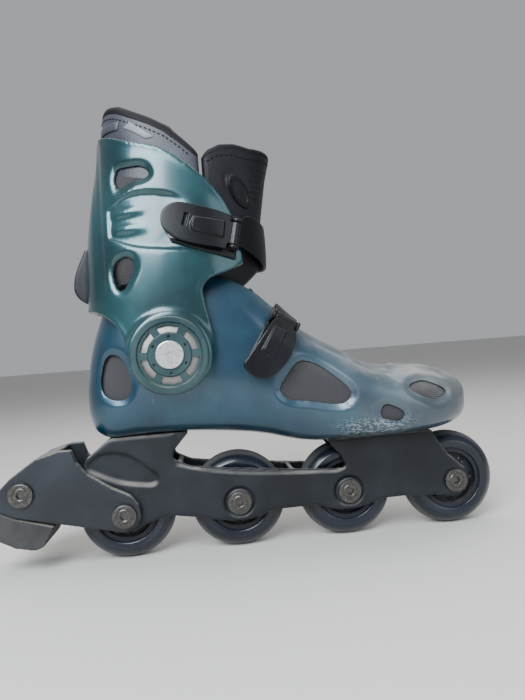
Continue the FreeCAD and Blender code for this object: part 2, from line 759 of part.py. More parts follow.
def make_shell():
    reach = cheek_inside - number("cheek_gap")
    inside = foot_form(shell_wall)
    shell = foot_form(0).cut(inside)
    for sign in SIDES.values():
        boss = across(number("ring_diameter") / 2 - 4, reach - 14, reach, sign)
        shell = shell.fuse(boss.cut(inside))
    shell = shell.cut(prism(outline(*SHELL_EDGE), -WIDE, WIDE))
    for runs, near, far in ((HEEL_VENT, 5, WIDE), (SIDE_VENT, 20, WIDE), (SMALL_VENT, 25, WIDE),
                            (TOE_VENT, 12, WIDE)):
        for tool in both_sides(runs, near, far):
            shell = shell.cut(tool)
    shell = shell.cut(split_cylinder(number("pivot_diameter") / 2))
    for rear, front, deck in (("rear_axle - 40", "rear_axle + 52", "heel_deck"),
                              ("front_axle - 98", "front_axle + 6", "toe_deck")):
        seat = Part.makeBox(number(front) - number(rear), 60, 8, Vector(number(rear), -30, number(deck) - 8))
        shell = shell.cut(seat)
    return largest(shell)


def make_cuff():
    cheek_outside = number("cheek_outside")
    cuff = layer(leg_form, -cuff_wall, 0, LEG_SECTIONS)
    side = prism(outline(*CUFF_SIDE), -WIDE, WIDE)
    cuff = cuff.common(side)
    for sign in SIDES.values():
        radius = number("ring_diameter") / 2 + 1
        cuff = cuff.fuse(across(radius, cheek_inside, cheek_outside, sign))
        cuff = cuff.cut(across(radius + 0.01, 0, cheek_inside, sign))
    cuff = cuff.cut(split_cylinder(number("pivot_bore") / 2))
    for runs in (UPPER_VENT, LOWER_VENT):
        for tool in both_sides(runs, 10, WIDE):
            cuff = cuff.cut(tool)
    return largest(cuff)


shell_piece = shaped("shell", make_shell())
cuff_piece = shaped("cuff", make_cuff())

# ---------------------------------------------------------------- pivot rings and rivets
def make_ring(side_name, side):
    """The windowed ring that covers the cuff's hinge on one side."""
    body = doc.addObject("PartDesign::Body", "PivotRing" + side_name)
    rim = "ring_diameter / 2"
    section = new_sketch(body, "XY_Plane", "RingSection" + side_name)
    draw_outline(section, [
        ("pivot_bore / 2", "0"), (rim, "0"), (rim, "-ring_height + 0.8"),
        (rim + " - 0.8", "-ring_height"), (rim + " - 3.6", "-ring_height"),
        (rim + " - 4.8", "-ring_height * 0.55"), (rim + " - 11", "-ring_height * 0.55"),
        (rim + " - 11.8", "-ring_height * 0.8"), ("pivot_bore / 2", "-ring_height * 0.8"),
    ])
    revolve(body, section, "RingTurned" + side_name)
    window = new_sketch(body, "XZ_Plane", "RingWindow" + side_name)
    far = rim + " - 5.8"
    near = rim + " - 10.6"
    draw_outline(window, [
        ("(%s) * cos(9 deg)" % near, "(%s) * sin(9 deg)" % near),
        ("(%s) * cos(8 deg)" % far, "(%s) * sin(8 deg)" % far),
        ("(%s) * cos(30 deg)" % far, "(%s) * sin(30 deg)" % far),
        ("(%s) * cos(52 deg)" % far, "(%s) * sin(52 deg)" % far),
        ("(%s) * cos(51 deg)" % near, "(%s) * sin(51 deg)" % near),
        ("(%s) * cos(30 deg)" % near, "(%s) * sin(30 deg)" % near),
    ])
    opening = both_ways(body, "Pocket", "RingWindowCut" + side_name, window, "4 * ring_height")
    pattern_round(body, opening, window, 6, "RingWindows" + side_name)
    hole = new_sketch(body, "XZ_Plane", "RingHole" + side_name)
    reach = rim + " - 13.4"
    draw_circle(hole, "(%s) * cos(30 deg)" % reach, "(%s) * sin(30 deg)" % reach, "2.2")
    drilled = both_ways(body, "Pocket", "RingHoleCut" + side_name, hole, "4 * ring_height")
    pattern_round(body, drilled, hole, 6, "RingHoles" + side_name)
    if side > 0:
        body.Placement = FreeCAD.Placement(Vector(), FreeCAD.Rotation(Vector(0, 0, 1), 180))
    move(body, "pivot_x", "%d * cheek_outside" % side, "pivot_z")
    keep(body, "pivot_ring_" + side_name)


def make_pivot_rivets():
    """One hollow-headed rivet a side joins the cuff to the shell and lets it swing."""
    rivets = []
    for side in SIDES.values():
        inside = cheek_inside - number("cheek_gap") - number("shell_width") * 0.085
        face = number("cheek_outside") + number("ring_height") * 0.8 + 0.1
        rivet = across(number("pivot_diameter") / 2, inside, face + 1, side)
        head = across(number("pivot_head_diameter") / 2, face, face + 2, side)
        rounded = head.makeFillet(0.8, [edge for edge in head.Edges if abs(edge.CenterOfMass.y) > face + 1.5
                                        and edge.Closed])
        rivet = rivet.fuse(rounded)
        rivet = rivet.cut(across(2, face + 0.9, face + 3, side))
        rivets.append(rivet)
    shaped("pivot_rivets", Part.makeCompound(rivets))


for name, side in SIDES.items():
    make_ring(name, side)
make_pivot_rivets()


# ---------------------------------------------------------------- liner, tongue, footbed
def pivot_wedge(low_radius, high_radius, low_angle, high_angle, half):
    """A block about the pivot's axis between two radii and two angles above +X."""
    steps = [math.radians(low_angle + (high_angle - low_angle) * share) for share in (0, 0.5, 1)]
    ends = [Vector(math.cos(angle), 0, math.sin(angle)) for angle in steps]
    inner = [PIVOT + end * low_radius for end in ends]
    outer = [PIVOT + end * high_radius for end in ends]
    edges = [
        Part.LineSegment(inner[0], outer[0]).toShape(), Part.Arc(*outer).toShape(),
        Part.LineSegment(outer[2], inner[2]).toShape(), Part.Arc(*reversed(inner)).toShape(),
    ]
    return prism(Part.Wire(edges), -half, half)


liner_outside = shell_wall + soft_gap
liner_inside = liner_outside + liner_wall
tongue_half = 23 * stretch_y
INSTEP = [[(-14, 60), (-14, 112)], [(-14, 112), (24, 112)], [(24, 112), (60, 70)], [(60, 70), (60, 44)],
          [(60, 44), (20, 44)]]
THROAT_ANGLES = (12, 37)


def make_liner_foot():
    liner = layer(foot_form, -liner_inside, -liner_outside)
    liner = liner.cut(prism(outline(*SHELL_EDGE), -WIDE, WIDE))
    room = tongue_half + soft_gap
    liner = liner.cut(prism(outline(*INSTEP), -room, room))
    throat = pivot_wedge(split_radius - 1, 200, THROAT_ANGLES[0] - 4, 80, room)
    liner = liner.cut(throat)
    for side in SIDES.values():
        liner = liner.cut(across(number("pivot_head_diameter") / 2, 20, WIDE, side))
    for mount in ("heel_mount", "toe_mount"):
        recess = Part.makeCylinder(number("mount_bolt_diameter"), number("heel_deck") + 5,
                                   Vector(number(mount), 0, 0))
        liner = liner.cut(recess)
    return largest(liner)


def make_tongue_lower():
    tongue = layer(foot_form, -liner_inside, -liner_outside)
    tongue = tongue.common(prism(outline(*INSTEP), -tongue_half, tongue_half))
    throat = pivot_wedge(split_radius + 1, split_radius + 10, *THROAT_ANGLES, tongue_half - 3)
    tongue = tongue.cut(pivot_wedge(split_radius + 10, 200, 21, 90, WIDE))
    return largest(tongue.fuse(throat))


def make_footbed():
    inside = foot_form(liner_inside + 2 * soft_gap)
    above = inside.copy()
    above.translate(Vector(0, 0, 3.5))
    footbed = inside.cut(above)
    low = Part.makeBox(400 * stretch_x, 2 * WIDE, 24 * stretch_z + heel_rise * stretch_z,
                       Vector(-200 * stretch_x, -WIDE, toe_deck))
    return largest(footbed.common(low))


COLLAR_SIDE = [
    [(-150, 258), (-120, 258), (-111, 257), (-100, 247), (-85, 240), (-75, 233), (-64, 224), (-52, 213)],
    [(-52, 213), (-52, 60)], [(-52, 60), (-150, 60)],
]
TONGUE_SIDE = [
    [(-51, 212), (-43, 218), (-33, 219.5), (-20, 217), (-8, 218), (12, 220)],
    [(12, 220), (26, 220)], [(26, 220), (26, 156)], [(26, 156), (-51, 100)],
]


def make_collar():
    outside = cuff_wall + soft_gap
    collar = layer(leg_form, -outside - liner_wall, -outside, LEG_SECTIONS)
    collar = collar.common(prism(outline(*COLLAR_SIDE), -WIDE, WIDE))
    return largest(collar.cut(split_cylinder(split_radius + split_gap)))


def make_tongue_upper():
    tongue = layer(leg_form, -liner_wall, 0, TONGUE_SECTIONS)
    tongue = tongue.common(prism(outline(*TONGUE_SIDE), -WIDE, WIDE))
    return largest(tongue.cut(split_cylinder(split_radius + 10 + split_gap)))


shaped("liner_foot", make_liner_foot())
shaped("tongue_lower", make_tongue_lower())
shaped("footbed", make_footbed())
shaped("liner_collar", make_collar())
shaped("tongue_upper", make_tongue_upper())

SPOILER = [[(-130, 156), (-140, 153.5)], [(-140, 153.5), (-146, 141), (-149.5, 128), (-149, 122), (-145, 116.5),
           (-139, 113)], [(-139, 113), (-130, 113)]]


def make_spoiler():
    """The dark fin on the back of the cuff."""
    fin = prism(outline(*SPOILER), -13 * stretch_y, 13 * stretch_y)
    return largest(fin.cut(leg_form(0, LEG_SECTIONS)))


shaped("cuff_spoiler", make_spoiler())


# ---------------------------------------------------------------- buckles
base_low = 0.05
base_high = base_low + number("base_thickness")
strap_low = base_high + number("layer_gap")
strap_high = strap_low + number("strap_thickness")
lever_low = strap_high + 2 * number("layer_gap")
lever_high = lever_low + number("lever_thickness")
pin_radius = number("hinge_pin_diameter") / 2
knuckle_radius = pin_radius + 1.7
pin_level = lever_low + knuckle_radius - 0.2
knuckle_half = 8.0
ear_width = 2.4


def cuff_form(inset):
    return leg_form(inset, LEG_SECTIONS)


def on_form(solid, x, h, side):
    """The point of a form's skin beside (x, h) on one side of the boot, and its normal."""
    start = boot(x, 0, h)
    line = Part.LineSegment(start, start + Vector(0, side * WIDE, 0)).toShape()
    touch = max(solid.common(line).Vertexes, key=lambda vertex: abs(vertex.Y)).Point
    for face in solid.Faces:
        u, v = face.Surface.parameter(touch)
        if face.valueAt(u, v).distanceToPoint(touch) < 0.01:
            return touch, face.normalAt(u, v)
    raise RuntimeError("no skin beside %s, %s" % (x, h))


def strap(form, near, far):
    """A strap that lies over a form: near is its outline on the outer side, far on the inner."""
    side_block = prism(near, -WIDE, 0).fuse(prism(far, 0, WIDE))
    return largest(layer(form, strap_low, strap_high).common(side_block))


def plate(form, wire, low, high, side):
    block = prism(wire, -WIDE, 0) if side < 0 else prism(wire, 0, WIDE)
    return largest(layer(form, low, high).common(block))


def rivet(form, x, h, side, low, high):
    """A rivet with its head on top of the layer that ends at high."""
    point, normal = on_form(form(0), x, h, side)
    shaft = Part.makeCylinder(number("rivet_diameter") / 2, high - low, point + normal * low, normal)
    head = Part.makeCylinder(number("rivet_head_diameter") / 2, 1.5, point + normal * high, normal)
    return shaft.fuse(head)


def hinge_line(form, upper, lower):
    """The lever's hinge line above the outer side of the form, from two points beside it."""
    ends = [on_form(form(-pin_level), x, h, -1) for x, h in (upper, lower)]
    axis = (ends[0][0] - ends[1][0]).normalize()
    middle = (ends[0][0] + ends[1][0]) / 2
    normal = ends[0][1] + ends[1][1]
    normal = (normal - axis * normal.dot(axis)).normalize()
    return middle, axis, normal


def along(middle, axis, radius, start, length):
    return Part.makeCylinder(radius, length, middle + axis * start, axis)


def make_buckle(name, form, hinge, base_wire, lever_wire, catch_wire, rivets, wall, body_piece):
    """A lever on a pin between two ears of a riveted base."""
    middle, axis, normal = hinge_line(form, *hinge)
    print("%s hinge at (%.2f, %.2f, %.2f) along (%.4f, %.4f, %.4f)" % (name, *middle, *axis))
    bore = pin_radius + number("running_fit")
    base = plate(form, base_wire, base_low, base_high, -1)
    sideways = axis.cross(normal)
    for start in (-knuckle_half - number("layer_gap") - ear_width, knuckle_half + number("layer_gap")):
        ear = along(middle, axis, knuckle_radius + 0.6, start, ear_width)
        leg = Part.makeBox(2 * knuckle_radius + 1.2, pin_level + 1, ear_width)
        turn = FreeCAD.Rotation(sideways, normal * -1, axis, "XZY")
        corner = middle + axis * start - sideways * (knuckle_radius + 0.6)
        leg.Placement = FreeCAD.Placement(corner, turn)
        ear = ear.fuse(leg).cut(form(-base_low))
        base = base.fuse(ear)
    pin_half = knuckle_half + number("layer_gap") + ear_width
    base = base.cut(along(middle, axis, pin_radius, -pin_half, 2 * pin_half))
    lever = plate(form, lever_wire, lever_low, lever_high, -1)
    for start in (-pin_half - 1, knuckle_half):
        notch = ear_width + 1 + 2 * number("layer_gap")
        lever = lever.cut(along(middle, axis, knuckle_radius + 2, start, notch))
    lever = lever.fuse(along(middle, axis, knuckle_radius, -knuckle_half, 2 * knuckle_half))
    lever = lever.cut(along(middle, axis, bore, -knuckle_half, 2 * knuckle_half))
    base_piece = shaped(name + "_buckle_base", largest(base))
    shaped(name + "_lever", largest(lever))
    shaped(name + "_lever_pin", along(middle, axis, pin_radius, -pin_half, 2 * pin_half))
    shaped(name + "_lever_catch", plate(form, catch_wire, lever_high, lever_high + 1.6, -1))
    pinned = [rivet(form, x, h, -1, -wall, base_high) for x, h in rivets]
    drill([base_piece, body_piece], shaped(name + "_buckle_rivets", Part.makeCompound(pinned)))


def drill(pieces, fasteners):
    """Each fastener's hole goes through every layer that it holds."""
    for piece in pieces:
        piece.Shape = largest(piece.Shape.cut(fasteners.Shape))


def make_strap(name, form, near, far, anchor, rivet_place, wall, body_piece):
    band_piece = shaped(name + "_strap", strap(form, near, far))
    anchor_piece = shaped(name + "_strap_anchor", plate(form, anchor, base_low, base_high, 1))
    pinned = shaped(name + "_strap_rivet", rivet(form, *rivet_place, 1, -wall, strap_high))
    drill([band_piece, anchor_piece, body_piece], pinned)


make_buckle(
    "cuff", cuff_form, ((-29.2, 161.2), (-33.8, 140.8)),
    outline([(-78, 172), (-55, 172), (-40, 168), (-26, 165)], [(-26, 165), (-32, 135)],
            [(-32, 135), (-50, 140), (-76, 149)], [(-76, 149), (-78, 172)]),
    outline([(-81, 164), (-78.5, 170), (-74, 173), (-59, 172), (-41, 167), (-31.5, 163.5)],
            [(-31.5, 163.5), (-36.5, 140)], [(-36.5, 140), (-54, 144), (-74, 151), (-80, 157), (-81, 164)]),
    outline([(-58, 163), (-38, 159.5)], [(-38, 159.5), (-40, 148.5)], [(-40, 148.5), (-60, 153.5)],
            [(-60, 153.5), (-61, 158.5), (-58, 163)]),
    [(-73, 165.5), (-73, 154.5)], cuff_wall, cuff_piece,
)
make_strap(
    "cuff", cuff_form,
    outline([(-64, 165.5), (-28, 157.8)], [(-28, 157.8), (-21, 166), (-10, 163), (3, 157)],
            [(3, 157), (3, 133)], [(3, 133), (-12, 134), (-22, 140), (-28, 143.2)],
            [(-28, 143.2), (-64, 151)]),
    outline([(-58, 166), (-25, 166), (-12, 164), (3, 157)], [(3, 157), (3, 133)],
            [(3, 133), (-12, 134), (-25, 142), (-58, 146)]),
    band((-64, 156), (-38, 155), 24), (-52, 156), cuff_wall, cuff_piece,
)
make_buckle(
    "instep", foot_form, ((-6.5, 94.5), (7, 85.5)),
    band((-22, 57), (4, 96), 22),
    outline([(-7, 93.5), (-30.5, 64.5)], [(-30.5, 64.5), (-32.5, 60), (-31, 57), (-24, 51.5), (-18, 50.5), (-13, 52)],
            [(-13, 52), (6, 77), (7, 84)], [(7, 84), (-7, 93.5)]),
    band((-15, 68), (-4.5, 84), 9),
    [(-20, 56.5)], shell_wall, shell_piece,
)
make_strap(
    "instep", foot_form,
    outline([(-13.6, 61), (3, 84.5)], [(3, 84.5), (11, 89)], [(11, 89), (24, 107)], [(24, 107), (8, 118)],
            [(8, 118), (-5, 100)], [(-5, 100), (-7.4, 91.6)], [(-7.4, 91.6), (-23.4, 67.5)]),
    outline([(-5, 66), (24, 107)], [(24, 107), (8, 118)], [(8, 118), (-20, 77)]),
    band((-18, 63), (-4, 84), 20), (-10, 75), shell_wall, shell_piece,
)


def drill_mounts():
    doc.recompute()
    bolts = [obj for obj in nodes if obj.Label == "frame_bolts"]
    drill([shell_piece], bolts[0])


drill_mounts()


def finish():
    doc.recompute()
    for obj in doc.Objects:
        if "Invalid" in obj.State or "Error" in obj.State:
            raise RuntimeError("%s failed: %s" % (obj.Label, obj.State))
    for obj in nodes:
        if obj.Shape.isNull() or not obj.Shape.isValid():
            raise RuntimeError("%s has no valid shape" % obj.Label)
    os.makedirs("parts", exist_ok=True)
    for obj in nodes:
        obj.Shape.exportStep("parts/%s.step" % obj.Label)
    print(len(nodes), "nodes written")


finish()
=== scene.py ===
import json
import math
import bpy
import bmesh
import numpy as np
from mathutils import Matrix, Vector


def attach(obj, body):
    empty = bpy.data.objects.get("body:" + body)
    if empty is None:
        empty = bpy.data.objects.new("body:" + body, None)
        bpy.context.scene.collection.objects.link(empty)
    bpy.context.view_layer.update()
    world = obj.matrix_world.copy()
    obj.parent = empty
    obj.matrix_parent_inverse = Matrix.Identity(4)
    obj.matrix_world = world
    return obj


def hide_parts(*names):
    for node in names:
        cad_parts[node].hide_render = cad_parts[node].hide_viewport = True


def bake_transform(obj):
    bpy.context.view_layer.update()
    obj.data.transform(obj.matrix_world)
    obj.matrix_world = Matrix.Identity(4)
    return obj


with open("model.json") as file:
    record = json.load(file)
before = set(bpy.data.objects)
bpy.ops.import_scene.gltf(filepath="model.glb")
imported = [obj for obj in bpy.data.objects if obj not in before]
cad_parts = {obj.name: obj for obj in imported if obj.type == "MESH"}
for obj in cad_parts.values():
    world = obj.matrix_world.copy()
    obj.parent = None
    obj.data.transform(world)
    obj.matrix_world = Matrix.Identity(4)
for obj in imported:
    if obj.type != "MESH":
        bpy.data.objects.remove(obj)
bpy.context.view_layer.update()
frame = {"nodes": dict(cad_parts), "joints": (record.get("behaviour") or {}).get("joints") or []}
nodes = frame["nodes"]
scene = bpy.context.scene
mm = 0.001
soleLevel = 76  # height of the frame's toe deck, mm


def hinge(name):
    return next(joint for joint in frame["joints"] if joint["name"] == name)


def inScene(name, data):
    holder = bpy.data.objects.new(name, data)
    scene.collection.objects.link(holder)
    return holder


pivot = Vector(hinge("cuff_lean")["pos_m"]) / mm  # the ankle hinge, mm


# ---- stage, light and camera
stageLook = dict(floorColour=(0.60, 0.58, 0.55, 1), worldColour=(0.80, 0.83, 0.88, 1), worldStrength=0.5,
                 keyPower=33, fillPower=4, topPower=12)
cameraLook = dict(turn=(-0.0071, -0.1004, -0.0781), place=(-60.22, -460.06, 145.01), lens=30.717)
daylight = (0.88, 0.94, 1)


def makeStage():
    bpy.ops.mesh.primitive_plane_add(size=40, location=(0, 0, 0))
    floor = bpy.context.object
    floor.name = "floor"
    finish = bpy.data.materials.new("floorFinish")
    finish.use_nodes = True
    shader = finish.node_tree.nodes["Principled BSDF"]
    shader.inputs["Base Color"].default_value = stageLook["floorColour"]
    shader.inputs["Roughness"].default_value = 0.9
    floor.data.materials.append(finish)
    world = bpy.data.worlds.new("softRoom")
    scene.world = world
    world.use_nodes = True
    sky = world.node_tree.nodes["Background"]
    sky.inputs["Color"].default_value = stageLook["worldColour"]
    sky.inputs["Strength"].default_value = stageLook["worldStrength"]


def areaLight(name, place, target, size, power, colour=(1, 1, 1)):
    lamp = bpy.data.lights.new(name, "AREA")
    lamp.shape = "RECTANGLE"
    lamp.size, lamp.size_y = size
    lamp.energy = power
    lamp.color = colour
    holder = inScene(name, lamp)
    holder.location = place
    holder.rotation_euler = (Vector(target) - Vector(place)).to_track_quat("-Z", "Y").to_euler()


def makeCamera():
    turn = Vector(cameraLook["turn"])  # its direction is the axis, its length the angle
    look = Matrix.Rotation(turn.length, 3, turn.normalized()) @ Matrix(((1, 0, 0), (0, 0, -1), (0, 1, 0)))
    rows = look.transposed()
    axes = Matrix((rows.col[0], -rows.col[1], -rows.col[2])).transposed().to_4x4()
    axes.translation = Vector(cameraLook["place"]) * mm
    camera = bpy.data.cameras.new("camera")
    camera.lens = cameraLook["lens"]
    camera.clip_start = 0.01
    holder = inScene("camera", camera)
    holder.matrix_world = axes
    scene.camera = holder


makeStage()
makeCamera()
areaLight("windowLight", (-0.46, -0.92, 0.86), (-0.02, 0, 0.15), (0.7, 0.8), stageLook["keyPower"], daylight)
areaLight("doorLight", (0.9, -0.9, 0.5), (0, 0, 0.12), (0.8, 0.8), stageLook["fillPower"], daylight)
areaLight("skyLight", (0.1, 0.3, 1.3), (0, 0, 0.1), (1.2, 1.2), stageLook["topPower"])
print("stage ready")


# ---- shader groups that several finishes share
def newGroup(name, inputs, outputs):
    group = bpy.data.node_groups.new(name, "ShaderNodeTree")
    for label, kind, value in inputs:
        socket = group.interface.new_socket(name=label, in_out="INPUT", socket_type=kind)
        if value is not None:
            socket.default_value = value
    for label, kind in outputs:
        group.interface.new_socket(name=label, in_out="OUTPUT", socket_type=kind)
    start = group.nodes.new("NodeGroupInput")
    end = group.nodes.new("NodeGroupOutput")
    return group, start, end


def link(group, a, b):
    group.links.new(a, b)


def feed(group, value, socket):  # a plain value, or what another node gives
    if isinstance(value, bpy.types.NodeSocket):
        link(group, value, socket)
    else:
        socket.default_value = value


def mathNode(group, operation, a, b=None, c=None, clamp=False):
    node = group.nodes.new("ShaderNodeMath")
    node.operation = operation
    node.use_clamp = clamp
    for index, value in enumerate((a, b, c)):
        if value is not None:
            feed(group, value, node.inputs[index])
    return node.outputs[0]


def times(group, a, b, clamp=False):
    return mathNode(group, "MULTIPLY", a, b, clamp=clamp)


def timesPlus(group, a, b, c):
    return mathNode(group, "MULTIPLY_ADD", a, b, c)


def xyzOf(group, vector):
    node = group.nodes.new("ShaderNodeSeparateXYZ")
    link(group, vector, node.inputs["Vector"])
    return node.outputs["X"], node.outputs["Y"], node.outputs["Z"]


def ramp(group, value, low, high):
    node = group.nodes.new("ShaderNodeMapRange")
    node.interpolation_type = "SMOOTHSTEP"
    link(group, value, node.inputs["Value"])
    for label, edge in (("From Min", low), ("From Max", high)):
        feed(group, edge, node.inputs[label])
    return node.outputs["Result"]


def noiseNode(group, vector, scale, detail=4.0, roughness=0.55):
    node = group.nodes.new("ShaderNodeTexNoise")
    node.inputs["Detail"].default_value = detail
    node.inputs["Roughness"].default_value = roughness
    link(group, vector, node.inputs["Vector"])
    feed(group, scale, node.inputs["Scale"])
    return node.outputs["Fac"]


def objectCoords(group):
    return group.nodes.new("ShaderNodeTexCoord").outputs["Object"]


def stretched(group, vector, scale, turn):
    node = group.nodes.new("ShaderNodeMapping")
    node.inputs["Scale"].default_value = scale
    node.inputs["Rotation"].default_value = turn
    link(group, vector, node.inputs["Vector"])
    return node.outputs["Vector"]


def makeScratchGroup():
    group, start, end = newGroup("fineScratches",
                                 [("Amount", "NodeSocketFloat", 0.3), ("Scale", "NodeSocketFloat", 60)],
                                 [("Mask", "NodeSocketFloat")])
    coords = objectCoords(group)
    total = None
    for turn, stretch in (((0.3, 0.5, 0.2), (1, 1, 14)), ((0.9, -0.7, 0.4), (14, 1, 1)),
                          ((0.1, 1.9, 0.8), (12, 1.5, 1))):
        streak = noiseNode(group, stretched(group, coords, stretch, turn), start.outputs["Scale"], 2)
        thin = ramp(group, streak, 0.70, 0.78)
        total = thin if total is None else mathNode(group, "MAXIMUM", total, thin)
    patch = ramp(group, noiseNode(group, coords, 22, 2), 0.5, 0.68)
    worn = times(group, total, patch)
    link(group, times(group, worn, start.outputs["Amount"], clamp=True), end.inputs["Mask"])
    return group


def makeDustGroup():
    group, start, end = newGroup("settledDust",
                                 [("Amount", "NodeSocketFloat", 0.5), ("Scale", "NodeSocketFloat", 45)],
                                 [("Mask", "NodeSocketFloat")])
    normal = group.nodes.new("ShaderNodeNewGeometry").outputs["Normal"]
    upward = ramp(group, xyzOf(group, normal)[2], 0.15, 0.95)
    cloud = ramp(group, noiseNode(group, objectCoords(group), start.outputs["Scale"], 6), 0.28, 0.72)
    mixed = times(group, upward, timesPlus(group, cloud, 0.7, 0.3))
    link(group, times(group, mixed, start.outputs["Amount"], clamp=True), end.inputs["Mask"])
    return group


def makeGrainGroup():
    group, start, end = newGroup("mouldedGrain", [("Scale", "NodeSocketFloat", 900)],
                                 [("Height", "NodeSocketFloat"), ("Cloud", "NodeSocketFloat")])
    coords = objectCoords(group)
    link(group, noiseNode(group, coords, start.outputs["Scale"], 3), end.inputs["Height"])
    link(group, noiseNode(group, coords, 26, 5), end.inputs["Cloud"])
    return group


def makeWeaveGroup():
    group, start, end = newGroup("ribbedWeave", [("Ribs", "NodeSocketFloat", 700)],
                                 [("Height", "NodeSocketFloat"), ("Thread", "NodeSocketFloat")])
    x, y, z = xyzOf(group, objectCoords(group))
    slant = mathNode(group, "ADD", x, timesPlus(group, z, 0.6, times(group, y, 0.5)))
    cross = mathNode(group, "ADD", z, timesPlus(group, y, 0.8, times(group, x, -0.35)))
    rib = mathNode(group, "SINE", times(group, slant, times(group, start.outputs["Ribs"], 6.2832)))
    knit = mathNode(group, "SINE", times(group, cross, times(group, start.outputs["Ribs"], 4.4)))
    height = timesPlus(group, rib, 0.5, 0.5)
    cell = times(group, height, timesPlus(group, knit, 0.3, 0.7))
    link(group, cell, end.inputs["Height"])
    link(group, ramp(group, cell, 0.2, 0.8), end.inputs["Thread"])
    return group


scratchGroup = makeScratchGroup()
dustGroup = makeDustGroup()
grainGroup = makeGrainGroup()
weaveGroup = makeWeaveGroup()


# ---- finishes
def place(tree, group, **values):
    node = tree.nodes.new("ShaderNodeGroup")
    node.node_tree = group
    for label, value in values.items():
        node.inputs[label].default_value = value
    return node


def mixColour(tree, factor, a, b):
    node = tree.nodes.new("ShaderNodeMix")
    node.data_type = "RGBA"
    link(tree, factor, node.inputs[0])
    for index, value in ((6, a), (7, b)):
        feed(tree, value, node.inputs[index])
    return node.outputs[2]


def mixValue(tree, factor, a, b):
    node = tree.nodes.new("ShaderNodeMix")
    link(tree, factor, node.inputs[0])
    for index, value in ((2, a), (3, b)):
        feed(tree, value, node.inputs[index])
    return node.outputs[0]


def bumpFrom(tree, shader, height, strength, distance):
    bump = tree.nodes.new("ShaderNodeBump")
    bump.inputs["Strength"].default_value = strength
    bump.inputs["Distance"].default_value = distance
    link(tree, height, bump.inputs["Height"])
    link(tree, bump.outputs["Normal"], shader.inputs["Normal"])


def newFinish(name):
    material = bpy.data.materials.new(name)
    material.use_nodes = True
    tree = material.node_tree
    return material, tree, tree.nodes["Principled BSDF"]


def toeWear(tree, dusty):  # the front of the boot is dusty all over, and its lower edge is rubbed
    x, y, z = xyzOf(tree, objectCoords(tree))
    front = ramp(tree, x, -0.03, 0.14)
    high = ramp(tree, z, 0.075, 0.135)
    cloud = ramp(tree, noiseNode(tree, objectCoords(tree), 30, 6), 0.3, 0.7)
    film = times(tree, times(tree, front, timesPlus(tree, high, 0.75, 0.25)),
                 timesPlus(tree, cloud, 0.5, 0.4))
    settled = times(tree, dusty, timesPlus(tree, front, 0.85, 0.15))
    low = mathNode(tree, "SUBTRACT", 1.0, ramp(tree, z, 0.084, 0.098))
    along = times(tree, ramp(tree, x, 0.02, 0.05),
                  mathNode(tree, "SUBTRACT", 1.0, ramp(tree, x, 0.06, 0.10)))
    streaks = noiseNode(tree, stretched(tree, objectCoords(tree), (1, 1, 4), (0, 0.5, 0)), 420, 3)
    scuff = times(tree, times(tree, low, along), ramp(tree, streaks, 0.5, 0.6))
    return mathNode(tree, "MAXIMUM", settled, times(tree, film, 0.55)), scuff


def paintFinish(name, deep, bright, metallic, dust, scratch, toeDust=False):
    material, tree, shader = newFinish(name)
    grain = place(tree, grainGroup, Scale=1500)
    colour = mixColour(tree, ramp(tree, grain.outputs["Cloud"], 0.3, 0.7), deep, bright)
    dusty = place(tree, dustGroup, Amount=dust, Scale=55).outputs["Mask"]
    scratches = place(tree, scratchGroup, Amount=scratch, Scale=120).outputs["Mask"]
    if toeDust:
        dusty, scuff = toeWear(tree, dusty)
        scratches = mathNode(tree, "MAXIMUM", scratches, scuff)
    colour = mixColour(tree, scratches, colour, (0.30, 0.36, 0.38, 1))
    colour = mixColour(tree, dusty, colour, (0.36, 0.34, 0.30, 1))
    link(tree, colour, shader.inputs["Base Color"])
    link(tree, mixValue(tree, dusty, metallic, 0.0), shader.inputs["Metallic"])
    rough = mixValue(tree, scratches, mixValue(tree, grain.outputs["Cloud"], 0.24, 0.36), 0.55)
    link(tree, mixValue(tree, dusty, rough, 0.85), shader.inputs["Roughness"])
    link(tree, mixValue(tree, dusty, 0.75, 0.0), shader.inputs["Coat Weight"])
    shader.inputs["Coat Roughness"].default_value = 0.16
    bumpFrom(tree, shader, grain.outputs["Cloud"], 0.05, 0.0006)
    return material


def nylonFinish(name, colour, light, roughness, dust, scratch, grainScale=1400, bump=0.12, gloss=0.3):
    material, tree, shader = newFinish(name)
    shader.inputs["Specular IOR Level"].default_value = gloss
    grain = place(tree, grainGroup, Scale=grainScale)
    base = mixColour(tree, ramp(tree, grain.outputs["Cloud"], 0.35, 0.7), colour, light)
    scratches = place(tree, scratchGroup, Amount=scratch, Scale=110).outputs["Mask"]
    base = mixColour(tree, scratches, base, tuple(min(1, 3.2 * part + 0.03) for part in light[:3]) + (1,))
    dusty = place(tree, dustGroup, Amount=dust, Scale=60).outputs["Mask"]
    base = mixColour(tree, dusty, base, (0.33, 0.31, 0.27, 1))
    link(tree, base, shader.inputs["Base Color"])
    rough = mixValue(tree, grain.outputs["Cloud"], roughness - 0.07, roughness + 0.09)
    link(tree, mixValue(tree, dusty, rough, 0.9), shader.inputs["Roughness"])
    bumpFrom(tree, shader, grain.outputs["Height"], bump, 0.0003)
    return material


